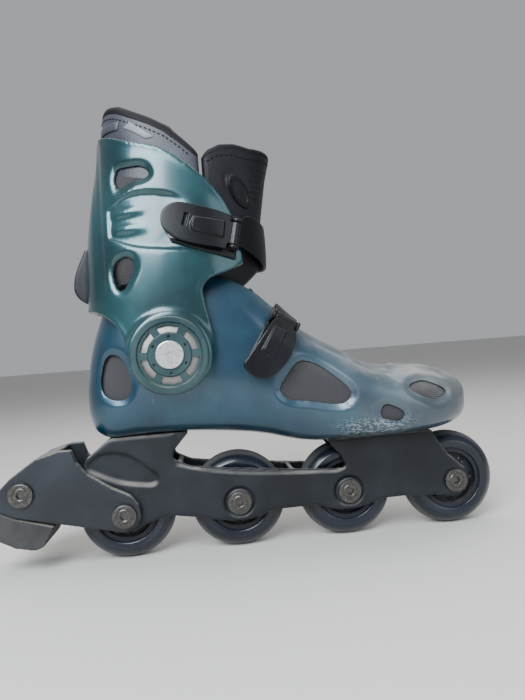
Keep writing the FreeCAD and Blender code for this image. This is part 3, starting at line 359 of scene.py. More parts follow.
def steelFinish(name, colour, roughness):
    material, tree, shader = newFinish(name)
    grain = place(tree, grainGroup, Scale=700)
    scratches = place(tree, scratchGroup, Amount=0.8, Scale=200).outputs["Mask"]
    dull = times(tree, ramp(tree, grain.outputs["Height"], 0.45, 0.7), 0.5)
    base = mixColour(tree, dull, colour, (0.16, 0.15, 0.14, 1))
    link(tree, mixColour(tree, scratches, base, (0.75, 0.75, 0.74, 1)), shader.inputs["Base Color"])
    link(tree, mixValue(tree, dull, 1.0, 0.6), shader.inputs["Metallic"])
    link(tree, mixValue(tree, grain.outputs["Cloud"], roughness - 0.06, roughness + 0.12),
         shader.inputs["Roughness"])
    bumpFrom(tree, shader, grain.outputs["Height"], 0.2, 0.0002)
    return material


def meshFinish(name, dark, light, ribs, strength=0.5):
    material, tree, shader = newFinish(name)
    weave = place(tree, weaveGroup, Ribs=ribs)
    dusty = place(tree, dustGroup, Amount=0.35, Scale=80).outputs["Mask"]
    base = mixColour(tree, weave.outputs["Thread"], dark, light)
    link(tree, mixColour(tree, dusty, base, (0.3, 0.29, 0.26, 1)), shader.inputs["Base Color"])
    shader.inputs["Roughness"].default_value = 0.82
    shader.inputs["Sheen Weight"].default_value = 0.25
    bumpFrom(tree, shader, weave.outputs["Height"], strength, 0.0005)
    return material


def vinylFinish(name, dark, light, roughness=0.5, dust=0.3, gloss=0.4):
    material, tree, shader = newFinish(name)
    shader.inputs["Specular IOR Level"].default_value = gloss
    grain = place(tree, grainGroup, Scale=1100)
    voronoi = tree.nodes.new("ShaderNodeTexVoronoi")
    voronoi.inputs["Scale"].default_value = 950
    link(tree, objectCoords(tree), voronoi.inputs["Vector"])
    pebble = timesPlus(tree, voronoi.outputs["Distance"], 0.8, times(tree, grain.outputs["Height"], 0.4))
    dusty = place(tree, dustGroup, Amount=dust, Scale=70).outputs["Mask"]
    base = mixColour(tree, ramp(tree, grain.outputs["Cloud"], 0.3, 0.7), dark, light)
    link(tree, mixColour(tree, dusty, base, (0.3, 0.29, 0.27, 1)), shader.inputs["Base Color"])
    link(tree, mixValue(tree, grain.outputs["Cloud"], roughness - 0.06, roughness + 0.1),
         shader.inputs["Roughness"])
    bumpFrom(tree, shader, pebble, 0.35, 0.0004)
    return material


shellFinish = paintFinish("shellPaint", (0.004, 0.030, 0.058, 1), (0.010, 0.058, 0.095, 1), 0.5, 0.95, 0.35,
                          toeDust=True)
cuffFinish = paintFinish("cuffPaint", (0.004, 0.034, 0.042, 1), (0.012, 0.068, 0.080, 1), 0.55, 0.12, 0.3)
ringFinish = paintFinish("ringPaint", (0.012, 0.042, 0.048, 1), (0.035, 0.075, 0.080, 1), 0.35, 0.4, 0.5)
frameFinish = nylonFinish("frameNylon", (0.006, 0.0075, 0.010, 1), (0.014, 0.017, 0.022, 1), 0.40, 0.95,
                          0.55)
brakeFinish = nylonFinish("brakeNylon", (0.009, 0.0115, 0.016, 1), (0.018, 0.022, 0.029, 1), 0.38, 0.7, 0.5,
                          gloss=0.4)
buckleFinish = nylonFinish("bucklePlastic", (0.002, 0.0024, 0.0034, 1), (0.005, 0.006, 0.008, 1), 0.30, 0.1,
                           0.2, 1800, 0.05)
strapFinish = nylonFinish("strapPlastic", (0.0012, 0.0012, 0.002, 1), (0.004, 0.004, 0.006, 1), 0.42, 0.12,
                          0.2, 1800, 0.08, gloss=0.2)
finFinish = nylonFinish("finPlastic", (0.007, 0.008, 0.012, 1), (0.014, 0.016, 0.023, 1), 0.38, 0.3, 0.25)
coreFinish = nylonFinish("coreNylon", (0.008, 0.009, 0.014, 1), (0.016, 0.018, 0.026, 1), 0.45, 0.4, 0.3)
padFinish = nylonFinish("brakeRubber", (0.018, 0.019, 0.021, 1), (0.05, 0.05, 0.05, 1), 0.72, 0.8, 0.8, 700,
                        0.5)
steel = steelFinish("boltSteel", (0.09, 0.088, 0.085, 1), 0.36)
silver = steelFinish("rivetSilver", (0.72, 0.73, 0.74, 1), 0.30)
linerMesh = meshFinish("linerMesh", (0.006, 0.006, 0.008, 1), (0.060, 0.058, 0.062, 1), 900)
linerVinyl = vinylFinish("linerVinyl", (0.026, 0.028, 0.038, 1), (0.050, 0.053, 0.068, 1), 0.42)
pipingFinish = vinylFinish("linerPiping", (0.002, 0.002, 0.003, 1), (0.005, 0.005, 0.007, 1), 0.6, 0.03, 0.2)
tongueFinish = vinylFinish("tongueVinyl", (0.004, 0.004, 0.006, 1), (0.008, 0.008, 0.011, 1), 0.5, 0.06,
                           0.22)
# matte black for the hole discs: painted shade, standing in for the dark inside of each hole
holeShadeFinish = nylonFinish("paintedHoleShade", (0.003, 0.003, 0.003, 1), (0.006, 0.006, 0.006, 1), 0.9, 0, 0)
footbedFinish = meshFinish("footbedCloth", (0.03, 0.03, 0.033, 1), (0.09, 0.09, 0.095, 1), 420)
patchFinish = vinylFinish("pullPatch", (0.13, 0.135, 0.16, 1), (0.20, 0.205, 0.24, 1), 0.45)
print("finishes ready")


# ---- working tools
def meshObject(name, points, faces, finish=None):
    mesh = bpy.data.meshes.new(name)
    mesh.from_pydata([tuple(float(part) * mm for part in point) for point in points], [], faces)
    mesh.update()
    if finish:
        mesh.materials.append(finish)
    return inScene(name, mesh)


def bake(piece):  # applies what is on the piece and leaves a plain mesh
    shapes = bpy.context.evaluated_depsgraph_get()
    result = bpy.data.meshes.new_from_object(piece.evaluated_get(shapes))
    old = piece.data
    piece.modifiers.clear()
    piece.data = result
    result.name = piece.name
    if old.users == 0:
        bpy.data.meshes.remove(old)
    return piece


def smoothShaded(piece, angle=None):
    for face in piece.data.polygons:
        face.use_smooth = True
    if angle is not None:
        piece.data.set_sharp_from_angle(angle=math.radians(angle))
    return piece


def joined(name, pieces):
    base = pieces[0]
    if len(pieces) > 1:
        bpy.ops.object.select_all(action="DESELECT")
        for piece in pieces:
            piece.select_set(True)
        bpy.context.view_layer.objects.active = base
        bpy.ops.object.join()
    base.name = name
    return base


def trimmedBy(piece, tool, operation):
    modifier = piece.modifiers.new("trim", "BOOLEAN")
    modifier.operation = operation
    modifier.solver = "EXACT"
    modifier.object = tool
    bake(piece)
    bpy.data.objects.remove(tool)
    return piece


def facedOut(piece):
    work = bmesh.new()
    work.from_mesh(piece.data)
    bmesh.ops.recalc_face_normals(work, faces=work.faces)
    work.to_mesh(piece.data)
    work.free()
    return piece


def splineAt(knots, values, t):
    gap = np.diff(knots)
    count = len(knots)
    matrix = np.eye(count)
    right = np.zeros(values.shape)
    for i in range(1, count - 1):
        matrix[i, i - 1:i + 2] = gap[i - 1], 2 * (gap[i - 1] + gap[i]), gap[i]
        right[i] = 6 * ((values[i + 1] - values[i]) / gap[i] - (values[i] - values[i - 1]) / gap[i - 1])
    bend = np.linalg.solve(matrix, right)
    k = np.clip(np.searchsorted(knots, t, side="right") - 1, 0, count - 2)
    step = gap[k][:, None]
    a = (knots[k + 1] - t)[:, None] / step
    b = 1 - a
    lift = (a ** 3 - a) * bend[k] + (b ** 3 - b) * bend[k + 1]
    return a * values[k] + b * values[k + 1] + lift * step ** 2 / 6


def smoothRun(points, each=12):
    points = np.array(points, float)
    if len(points) < 3:
        return points
    closed = np.allclose(points[0], points[-1])
    if closed:
        points = np.vstack([points[-4:-1], points, points[1:4]])
    chord = np.concatenate([[0], np.cumsum(np.hypot(*np.diff(points, axis=0).T))])
    if closed:
        first, last = chord[3], chord[-4]
    else:
        first, last = chord[0], chord[-1]
    return splineAt(chord, points, np.linspace(first, last, each * len(points)))


def loopOf(runs):
    parts = [smoothRun(run)[:-1] for run in runs]
    if not np.allclose(runs[-1][-1], runs[0][0]):
        parts.append(np.array([runs[-1][-1]], float))
    return np.vstack(parts)


def prism(name, loop, near, far):
    count = len(loop)
    points = [(x, y, h + soleLevel) for y in (near, far) for x, h in loop]
    faces = [list(range(count)), list(range(2 * count - 1, count - 1, -1))]
    faces += [[i, i + count, (i + 1) % count + count, (i + 1) % count] for i in range(count)]
    return facedOut(meshObject(name, points, faces))


cutReach = 95  # every side cutter ends outside the boot, mm


def bothSides(loop, near):
    return [prism("outerCut", loop, -cutReach, -near), prism("innerCut", loop, near, cutReach)]


def distanceTo(line, points, closed=True):  # signed, negative inside a closed line
    ends = np.vstack([line, line[:1]]) if closed else line
    best = np.full(len(points), 1e9)
    inside = np.zeros(len(points), bool)
    for a, b in zip(ends[:-1], ends[1:]):
        run = b - a
        share = np.clip(((points - a) @ run) / max(run @ run, 1e-12), 0, 1)
        best = np.minimum(best, np.hypot(*(points - a - share[:, None] * run).T))
        if closed and abs(b[1] - a[1]) > 1e-9:
            crosses = (a[1] > points[:, 1]) != (b[1] > points[:, 1])
            inside ^= crosses & (points[:, 0] < (b[0] - a[0]) * (points[:, 1] - a[1]) / (b[1] - a[1]) + a[0])
    return np.where(inside, -best, best) if closed else best


def ease(value):
    value = np.clip(value, 0, 1)
    return value * value * (3 - 2 * value)


def fromPivot(flat):
    return np.hypot(flat[:, 0] - pivot.x, flat[:, 2] - pivot.z)


# ---- the boot's forms, mm, on stations near those of the solid model
footStations = [
    (-146, 0, 8, 15, 54), (-142, 0, 19, 6, 75), (-133, 0, 29, 0, 102), (-112, 0, 37, 0, 138),
    (-80, 0, 40, 0, 154), (-45, 0, 41, -3, 148), (-15, 0, 42, -8, 118), (16, 0, 44.5, -15, 84),
    (45, -1, 48, -15, 66), (72, -1, 50, -15, 54), (98, 0, 47, -14.5, 51.5), (120, 3, 38, -12.5, 46.5),
    (134, 5, 26, -8, 40), (141, 6, 15, -1, 34), (144, 6, 7, 7, 28),
]
legStations = [
    (30, -137, -26, 50), (72, -140, -20, 51), (110, -141, -14, 51), (140, -139, -10.5, 50.5),
    (170, -135.5, -11, 49), (205, -129.5, -14, 46.5), (236, -126, -18, 44.5), (264, -123, -22, 43),
]
tongueStations = [
    (100, -90, -14, 23), (120, -95, -13.5, 28), (145, -97, -11, 35), (165, -100, -8.5, 37.5),
    (188, -103, -4.5, 38.5), (207, -105, -0.5, 39), (222, -107, 3.5, 40), (236, -107, 5, 40),
]


def superCurve(angle, upPower, downPower):
    power = np.where(np.sin(angle) >= 0, upPower, downPower)
    a = np.sign(np.cos(angle)) * np.abs(np.cos(angle)) ** (2 / power)
    b = np.sign(np.sin(angle)) * np.abs(np.sin(angle)) ** (2 / power)
    return a, b


def footGrid(inset, rings, around):
    table = np.array(footStations, float)
    knots = np.concatenate([[0], np.cumsum(np.sqrt((np.diff(table[:, [0, 2, 4]], axis=0) ** 2).sum(1)))])
    x, shift, half, sole, top = splineAt(knots, table, np.linspace(0, knots[-1], rings)).T
    low = sole + 15 + soleLevel + inset
    high = np.maximum(top + soleLevel - inset, low + 1.5)
    middle = low + 0.42 * (high - low)
    centre = (x + 1) * (1 - 2 * inset / 290) - 1
    wide = np.maximum(half - inset, 1.5)
    a, b = superCurve(2 * np.pi * np.arange(around) / around, 2.5, 3.4)
    reach = np.where(b[None, :] > 0, (high - middle)[:, None], (middle - low)[:, None])
    grid = np.empty((rings, around, 3))
    grid[:, :, 0] = centre[:, None]
    grid[:, :, 1] = shift[:, None] + wide[:, None] * a[None, :]
    grid[:, :, 2] = middle[:, None] + reach * b[None, :]
    return grid


def legGrid(stations, inset, levels, angle):
    table = np.array(stations, float)
    back, front, half = splineAt(table[:, 0], table[:, 1:], np.asarray(levels, float)).T
    a, b = superCurve(np.asarray(angle, float), 2.4, 2.4)
    grid = np.empty((len(levels), len(angle), 3))
    grid[:, :, 0] = ((back + front) / 2)[:, None] + ((front - back) / 2 - inset)[:, None] * a[None, :]
    grid[:, :, 1] = (half - inset)[:, None] * b[None, :]
    grid[:, :, 2] = np.asarray(levels, float)[:, None] + soleLevel
    return grid


def gridNormals(grid):
    along = np.gradient(grid, axis=0)
    padded = np.concatenate([grid[:, -1:], grid, grid[:, :1]], axis=1)
    around = (padded[:, 2:] - padded[:, :-2]) / 2
    normal = np.cross(around, along)
    return normal / np.maximum(np.linalg.norm(normal, axis=2, keepdims=True), 1e-9)


def closedSkin(grids):  # each grid becomes a closed surface, every second one turned inwards
    points, faces = [], []
    for number, grid in enumerate(grids):
        rings, around = grid.shape[:2]
        base = len(points)
        points += list(grid.reshape(-1, 3))
        skin = [[base + i * around + j, base + i * around + (j + 1) % around,
                 base + (i + 1) * around + (j + 1) % around, base + (i + 1) * around + j]
                for i in range(rings - 1) for j in range(around)]
        for ring, turned in ((0, True), (rings - 1, False)):
            centre = len(points)
            points.append(grid[ring].mean(axis=0))
            for j in range(around):
                fan = [base + ring * around + j, base + ring * around + (j + 1) % around, centre]
                skin.append(fan[::-1] if turned else fan)
        faces += [face[::-1] for face in skin] if number % 2 else skin
    return points, faces


def cleaned(piece, gap=0.0001):
    work = bmesh.new()
    work.from_mesh(piece.data)
    bmesh.ops.remove_doubles(work, verts=work.verts, dist=gap)
    bmesh.ops.dissolve_degenerate(work, edges=work.edges, dist=gap / 10)
    work.to_mesh(piece.data)
    work.free()
    return piece


def softEdges(piece, width, angle=48, segments=2):
    bevel = piece.modifiers.new("edges", "BEVEL")
    bevel.width = width * mm
    bevel.segments = segments
    bevel.limit_method = "ANGLE"
    bevel.angle_limit = math.radians(angle)
    bevel.use_clamp_overlap = True
    return bake(piece)


def rounded(piece, voxel, relax):  # an even skin, so that every cut edge is softly rounded
    remesh = piece.modifiers.new("skin", "REMESH")
    remesh.mode = "VOXEL"
    remesh.voxel_size = voxel * mm
    relaxed = piece.modifiers.new("relax", "SMOOTH")
    relaxed.factor = 0.5
    relaxed.iterations = relax
    bake(piece)
    piece.data.materials.clear()
    return smoothShaded(piece)


def nodeCopy(name, label):
    mesh = nodes[name].data.copy()
    mesh.materials.clear()
    return cleaned(inScene(label, mesh), 0.00001)


def moulded(names, label, body, finish, voxel, relax=6, shaping=None):
    # a rounded, moulded copy of solid-model nodes
    piece = rounded(joined(label, [nodeCopy(name, label) for name in names]), voxel, relax)
    if shaping:
        count = len(piece.data.vertices)
        flat = np.empty(count * 3)
        piece.data.vertices.foreach_get("co", flat)
        flat = shaping(flat.reshape(-1, 3) / mm)
        piece.data.vertices.foreach_set("co", (flat * mm).ravel())
        piece.data.update()
    piece.data.materials.append(finish)
    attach(piece, body)
    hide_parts(*names)
    print(label, len(piece.data.polygons) * 2)
    return piece


# ---- shell
shellSizes = dict(wall=3.0, rings=230, around=210, bossRadius=22, bossReach=45)
heelVent = [[(-111, 52), (-112, 61), (-115, 69), (-119, 74), (-125, 75), (-131, 66), (-133, 55), (-131, 47),
             (-124, 43), (-115, 44), (-111, 52)]]
sideVent = [[(8, 60.5), (19, 58), (30, 50), (39, 41), (42, 34.5), (39, 30), (28, 28.5), (10, 32), (-4, 35.5),
             (-7.5, 41), (-3, 50), (8, 60.5)]]
smallVent = [[(64, 25), (72, 23.5), (78.5, 17), (77, 14), (68, 14), (61.5, 17.5), (64, 25)]]
toeVent = [[(85, 36.5), (94, 39.5), (106, 36.5), (116, 29), (110, 25.5), (99, 26.5), (85, 36.5)]]
shellEdge = [[(20, 80), (6, 93), (-6, 101), (-16, 110), (-29, 118.5), (-40, 123.5), (-60, 124.5),
              (-110, 119),
              (-170, 100)], [(-170, 100), (-170, 300)], [(-170, 300), (20, 300)], [(20, 300), (20, 80)]]
# outline, depth and width of the dished margin, and where the cut starts from the middle plane
shellVents = ((heelVent, 1.7, 4.5, 5), (sideVent, 2.1, 5, 20), (smallVent, 1.7, 4.5, 25),
              (toeVent, 2.6, 6, 12))
toeSlot = dict(x=77, y=1, long=15, wide=7, low=118, high=145)  # through the top of the toe
toeCrease = smoothRun([(48, 55), (55, 53), (63, 49), (72, 44), (83, 37)])


def sculptShell(grid):
    normal = gridNormals(grid)
    flat = grid.reshape(-1, 3)
    side = np.stack([flat[:, 0], flat[:, 2] - soleLevel], axis=1)
    depth = np.zeros(len(flat))
    outward = np.abs(flat[:, 1])
    for runs, deep, wide, near in shellVents:
        gap = distanceTo(loopOf(runs), side)
        depth = np.maximum(depth, np.where(outward > near * 0.8, deep * ease(1 - gap / wide), 0))
    gap = distanceTo(toeCrease, side, closed=False)  # the toe cap sits a step below the body
    line = np.interp(flat[:, 0], toeCrease[:, 0], toeCrease[:, 1])
    beyond = ease((side[:, 1] - line + 0.5) / 1.6)
    beyond = beyond * ease((flat[:, 0] - 47) / 8) * ease((92 - flat[:, 0]) / 22)
    depth = np.maximum(depth, 1.5 * beyond * ease(1 - (gap - 4) / 18))
    radius = fromPivot(flat)
    moved = flat - normal.reshape(-1, 3) * depth[:, None]
    boss = ease((shellSizes["bossRadius"] + 3 - radius) / 3) * (outward > 20)
    target = np.sign(flat[:, 1]) * shellSizes["bossReach"]
    moved[:, 1] = moved[:, 1] * (1 - boss) + target * boss
    return moved.reshape(grid.shape)


def makeShell():
    outer = sculptShell(footGrid(0, shellSizes["rings"], shellSizes["around"]))
    inner = footGrid(shellSizes["wall"], 90, 90)
    piece = meshObject("shellBody", *closedSkin([outer, inner]))
    cutters = [prism("edgeCut", loopOf(shellEdge), -cutReach, cutReach)]
    for runs, _, _, near in shellVents:
        cutters += bothSides(loopOf(runs), near)
    slot = [(toeSlot["x"] + toeSlot["long"] * math.cos(a) * (1 + 0.1 * math.sin(a)),
             toeSlot["wide"] * math.sin(a) + toeSlot["y"]) for a in np.linspace(0, 2 * math.pi, 40)[:-1]]
    count = len(slot)
    points = [(x, y, z) for z in (toeSlot["low"], toeSlot["high"]) for x, y in slot]
    faces = [list(range(count))[::-1], list(range(count, 2 * count))]
    faces += [[i, (i + 1) % count, (i + 1) % count + count, i + count] for i in range(count)]
    cutters.append(meshObject("slotCut", points, faces))
    trimmedBy(piece, joined("cutter", cutters), "DIFFERENCE")
    cleaned(piece, 0.00015)
    softEdges(piece, 0.55)
    smoothShaded(piece, 40)
    piece.data.materials.append(shellFinish)
    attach(piece, "boot")
    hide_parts("shell")
    print("shell", len(piece.data.polygons))


makeShell()


# ---- cuff
cuffSizes = dict(wall=3.5, low=36, high=246, levels=210, around=280, bore=5.1,
                 cheekRadius=27, cheekOutside=53, cheekInside=45.5)
upperVent = [[(-109, 204), (-99, 203.5), (-89, 200.5), (-88, 198), (-98, 194), (-109, 189)],
             [(-109, 189), (-111, 197), (-109, 204)]]
lowerVent = [[(-113, 139), (-104, 139.5), (-102, 135), (-105, 127), (-112.5, 118.5), (-116, 126),
              (-113, 139)]]
cuffVents = ((upperVent, 2.2, 6), (lowerVent, 2.0, 5))  # outline, depth and width of the dished margin
cuffSide = [[(-150, 236), (-130, 233), (-114, 228), (-100, 222), (-80, 216), (-58, 201), (-40, 182),
             (-31, 165),
             (-27, 150), (-26, 133)],
            [(-26, 133), (-33, 129), (-44, 125), (-52, 121.5), (-56, 116), (-56, 110), (-54, 98), (-51, 84),
             (-52, 66), (-60, 54), (-72, 46), (-84, 44.5), (-98, 49), (-107, 60), (-110, 74)],
            [(-110, 74), (-114, 88), (-119, 96), (-126, 102), (-135, 106), (-150, 108)],
            [(-150, 108), (-150, 236)]]
bandTop = [(-119, 176), (-112, 181), (-105, 184.5), (-89, 186), (-72.5, 183), (-56, 176)]
bandBottom = [(-56, 141), (-65, 142), (-86, 144), (-102, 147), (-119, 155)]
ribLines = [((-113, 171.5), (-92, 173.5)), ((-113, 160.5), (-92, 160.5))]


def sculptCuff(grid):
    normal = gridNormals(grid)
    flat = grid.reshape(-1, 3)
    side = np.stack([flat[:, 0], flat[:, 2] - soleLevel], axis=1)
    depth = np.zeros(len(flat))
    for runs, deep, wide in cuffVents:
        depth = np.maximum(depth, deep * ease(1 - distanceTo(loopOf(runs), side) / wide))
    band = loopOf([bandTop, [bandTop[-1], bandBottom[0]], bandBottom, [bandBottom[-1], bandTop[0]]])
    fade = ease((-58 - flat[:, 0]) / 22) * ease((flat[:, 0] + 128) / 8)
    depth = np.maximum(depth, 1.9 * ease(-distanceTo(band, side) / 2.2) * fade)
    for ends in ribLines:
        gap = distanceTo(np.array(ends, float), side, closed=False)
        leaf = ease((flat[:, 0] + 120) / 8) * ease((-86 - flat[:, 0]) / 22)
        depth -= 1.9 * ease(1 - gap / 5.6) * leaf * (np.abs(flat[:, 1]) > 15)
    spine = ease((-127.5 - flat[:, 0]) / 3.0) * ease((flat[:, 2] - 186) / 10)
    depth -= 1.1 * spine
    groove = ease(1 - np.abs(flat[:, 0] + 124.5) / 3) * (np.abs(flat[:, 1]) > 10)
    depth += 0.9 * (groove * ease((flat[:, 2] - 190) / 10))  # beside the spine
    edge = distanceTo(loopOf(cuffSide), side)
    depth -= 0.8 * ease(1 + edge / 5) * (edge < 0) * (np.abs(flat[:, 1]) > 12)  # a slightly thicker rim
    moved = flat - normal.reshape(-1, 3) * depth[:, None]
    radius = fromPivot(flat)
    cheek = ease((cuffSizes["cheekRadius"] + 5 - radius) / 5)
    target = np.sign(flat[:, 1]) * cuffSizes["cheekOutside"]
    moved[:, 1] = moved[:, 1] * (1 - cheek) + target * cheek
    return moved.reshape(grid.shape)


def makeCuff():
    angles = 2 * np.pi * np.arange(cuffSizes["around"]) / cuffSizes["around"]
    ends = cuffSizes["low"], cuffSizes["high"]
    outer = sculptCuff(legGrid(legStations, 0, np.linspace(*ends, cuffSizes["levels"]), angles))
    inner = legGrid(legStations, cuffSizes["wall"], np.linspace(*ends, 90), 2 * np.pi * np.arange(110) / 110)
    flat = inner.reshape(-1, 3)
    radius = fromPivot(flat)
    cheek = ease((cuffSizes["cheekRadius"] + 3 - radius) / 3)
    flat[:, 1] = flat[:, 1] * (1 - cheek) + np.sign(flat[:, 1]) * cuffSizes["cheekInside"] * cheek
    piece = meshObject("cuffBody", *closedSkin([outer, inner]))
    trimmedBy(piece, prism("keepBlock", loopOf(cuffSide), -cutReach, cutReach), "INTERSECT")
    cutters = []
    for runs in (upperVent, lowerVent):
        cutters += bothSides(loopOf(runs), 10)
    bore = cuffSizes["bore"]
    turns = np.linspace(0, 2 * math.pi, 33)[:-1]
    ring = [(pivot.x + bore * math.cos(a), pivot.z - soleLevel + bore * math.sin(a)) for a in turns]
    cutters.append(prism("boreCut", np.array(ring), -cutReach, cutReach))
    trimmedBy(piece, joined("cutter", cutters), "DIFFERENCE")
    rounded(piece, 1.12, 7)
    piece.data.materials.append(cuffFinish)
    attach(piece, "cuff")
    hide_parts("cuff")
    print("cuff", len(piece.data.polygons))


makeCuff()

# ---- wheels
wheelSizes = dict(half=12, rise=8, radius=36, steps=120)  # rise: of the crown above the side walls


def wheelFinish(number, x):
    material, tree, shader = newFinish("wheel%dUrethane" % number)
    alongX, alongY, alongZ = xyzOf(tree, objectCoords(tree))
    across = mathNode(tree, "SUBTRACT", alongX, x * mm)
    up = mathNode(tree, "SUBTRACT", alongZ, wheelSizes["radius"] * mm)
    radius = mathNode(tree, "SQRT", mathNode(tree, "ADD", times(tree, across, across), times(tree, up, up)))
    cloud = place(tree, grainGroup, Scale=900).outputs["Cloud"]
    worn = times(tree, ramp(tree, radius, 0.0322, 0.0348), timesPlus(tree, cloud, 0.7, 0.35))
    scratches = place(tree, scratchGroup, Amount=0.7, Scale=150).outputs["Mask"]
    base = mixColour(tree, ramp(tree, cloud, 0.35, 0.65), (0.004, 0.006, 0.012, 1), (0.009, 0.012, 0.021, 1))
    base = mixColour(tree, scratches, base, (0.10, 0.11, 0.13, 1))
    link(tree, mixColour(tree, worn, base, (0.085, 0.085, 0.082, 1)), shader.inputs["Base Color"])
    link(tree, mixValue(tree, worn, 0.26, 0.75), shader.inputs["Roughness"])
    bumpFrom(tree, shader, cloud, 0.1, 0.0004)
    return material


def lathe(name, profile, centre, steps, finish):  # profile of (radius, y), turned about the Y axis
    turns = np.linspace(0, 2 * np.pi, steps + 1)[:-1]
    points = [(centre[0] + r * math.cos(a), centre[1] + y, centre[2] + r * math.sin(a))
              for a in turns for r, y in profile]
    count = len(profile)
    faces = []
    for i in range(steps):
        here, there = i * count, (i + 1) % steps * count
        faces += [[here + j, here + (j + 1) % count, there + (j + 1) % count,
                   there + j] for j in range(count)]
    return smoothShaded(facedOut(meshObject(name, points, faces, finish)), 50)


def makeWheels():
    wide, rise, radius = wheelSizes["half"], wheelSizes["rise"], wheelSizes["radius"]
    bend = (wide ** 2 + rise ** 2) / (2 * rise)  # crown radius of the tread
    half = [(23, 10.0), (23.1, 10.9), (23.7, 11.3), (25.2, 11.55), (26.6, 11.8), (27.6, 11.95), (28.2, wide)]
    crown = [(radius - bend + math.sqrt(bend * bend - y * y), y) for y in (11.4, 10, 8, 6, 4, 2)]
    profile = half + crown + [(radius, 0)] + [(r, -y) for r, y in reversed(half + crown)]
    for number in range(1, 5):
        x = hinge("wheel_%d_spin" % number)["pos_m"][0] / mm
        centre = (x, 0, radius)
        piece = lathe("wheel%dTyre" % number, profile, centre, wheelSizes["steps"], wheelFinish(number, x))
        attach(piece, "wheel_%d" % number)
        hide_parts("wheel_%d_tyre" % number)


makeWheels()
print("wheels ready")

# ---- liner and tongue: padded walls with a rolled rim
linerSizes = dict(outer=4.0, thick=6.2, roll=4.3, columns=170)
collarTop = [(-150, 254), (-128, 254.5), (-119, 254), (-110, 251), (-100, 245.5), (-86, 239), (-75, 233),
             (-64, 224), (-52, 213)]
collarLow = [(-150, 115), (-128, 117), (-110, 123), (-82, 127), (-50, 127)]
tongueTop = [(-51, 210), (-46, 215), (-39, 218.5), (-30, 219), (-20, 217), (-8, 217.5), (12, 220)]
tongueLow = [(-51, 98), (26, 154)]


def levelAlong(line, x):
    line = np.array(line, float)
    return np.interp(x, line[:, 0], line[:, 1])


def sectionAt(stations, level):  # centre, half length and half width of a form at one level
    table = np.array(stations, float)
    back, ahead, half = splineAt(table[:, 0], table[:, 1:], np.array([level]))[0]
    return (back + ahead) / 2, (ahead - back) / 2, half


def paddedWall(name, stations, front, edgeX, topLine, lowLine, outer, thick, roll, columns, puff, taper=0.0):
    # a wall on a form, from one side edge round to the other, its top rolled over
    columnPoints = []
    labels = []
    for share in np.linspace(-1, 1, columns):
        # side edges stand at x = edgeX; the angle is counted from the front or the back
        def shape(level, inset):
            centre, long, half = sectionAt(stations, level)
            long -= inset
            limit = min(1.0, max(-1.0, (edgeX - centre) / long))
            bound = math.acos(math.copysign(abs(limit) ** 1.2, limit))
            angle = bound * share if front else math.pi + (math.pi - bound) * share
            a, b = superCurve(np.array([angle]), 2.4, 2.4)
            return centre + long * a[0], (half - inset) * b[0]
        x0 = shape(200, outer + thick / 2)[0]
        top = float(levelAlong(topLine, x0))
        low = float(levelAlong(lowLine, x0))
        rounding = math.sqrt(max(0.0, 1 - max(0.0, (abs(share) - 0.955) / 0.045) ** 2))
        thin = max(0.12, rounding) * thick / 2
        middle = outer + thick / 2
        column = []
        tags = []
        for step in np.linspace(0, 1, 44):
            level = low + (top - roll - low) * step
            wave = puff * math.sin(math.pi * min(1, (1 - step) * 5)) if step > 0.8 else puff * 0.4
            inset = middle - thin - wave * rounding + taper * max(0, 140 - level)
            x, y = shape(level, inset)
            column.append((x, y, level + soleLevel))
            tags.append(1 if step > 0.62 else 0)
        reach = max(0.3, rounding) * roll
        for turn in np.linspace(-0.35, math.pi + 0.35, 14):
            inset = middle - reach * math.cos(turn) * 0.82
            level = top - roll + reach * math.sin(turn) + (roll - reach) * 0.4
            x, y = shape(level, inset)
            column.append((x, y, level + soleLevel))
            tags.append(2)
        for step in np.linspace(1, 0, 26):
            level = low + (top - roll - low) * step
            x, y = shape(level, middle + thin + puff * 0.4 * rounding + taper * max(0, 140 - level))
            column.append((x, y, level + soleLevel))
            tags.append(3)
        columnPoints.append(column)
        labels = tags
    count = len(labels)
    points = [point for column in columnPoints for point in column]
    faces, tagged = [], []
    for i in range(columns - 1):
        for j in range(count):
            k = (j + 1) % count
            faces.append([i * count + j, (i + 1) * count + j, (i + 1) * count + k, i * count + k])
            tagged.append(labels[j])
    for i in (0, columns - 1):
        ring = [i * count + j for j in range(count)]
        faces.append(ring if i == 0 else ring[::-1])
        tagged.append(1)
    return meshObject(name, points, faces), tagged


def finished(piece, tagged, finishes):
    for finish in finishes:
        piece.data.materials.append(finish)
    piece.data.polygons.foreach_set("material_index", tagged)
    return smoothShaded(facedOut(piece), 60)


def softCopy(node, label, finish, voxel):
    piece = rounded(nodeCopy(node, label), voxel, 6)
    piece.data.materials.append(finish)
    return piece


def makeLiner():
    collar, tagged = paddedWall("collar", legStations, False, -52.5, collarTop, collarLow,
                                linerSizes["outer"],
                                linerSizes["thick"], linerSizes["roll"], linerSizes["columns"], 0.5,
                                taper=0.35)
    finished(collar, tagged, [linerMesh, linerVinyl, pipingFinish, linerMesh])
    foot = softCopy("liner_foot", "linerFoot", linerMesh, 1.6)
    liner = joined("liner", [collar, foot])
    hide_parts("liner_foot", "liner_collar")
    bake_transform(liner)


def sculptTongue(piece):  # an oval groove and dish under the rubber pad on each flank
    for vertex in piece.data.vertices:
        x, z = vertex.co.x / mm, vertex.co.z / mm
        run = Vector((x + 26, z - 262.5))
        along = run.dot(Vector((-0.585, 0.811)))
        beside = run.dot(Vector((0.811, 0.585)))
        ring = math.sqrt((along / 13) ** 2 + (beside / 6.2) ** 2)
        if ring < 1.6 and abs(vertex.co.y) > 0.012:
            groove = max(0.0, 1 - abs(ring - 1) / 0.22)
            dish = max(0.0, 1 - ring) if ring < 1 else 0
            vertex.co.y -= math.copysign((1.1 * groove + 0.5 * dish) * mm, vertex.co.y)


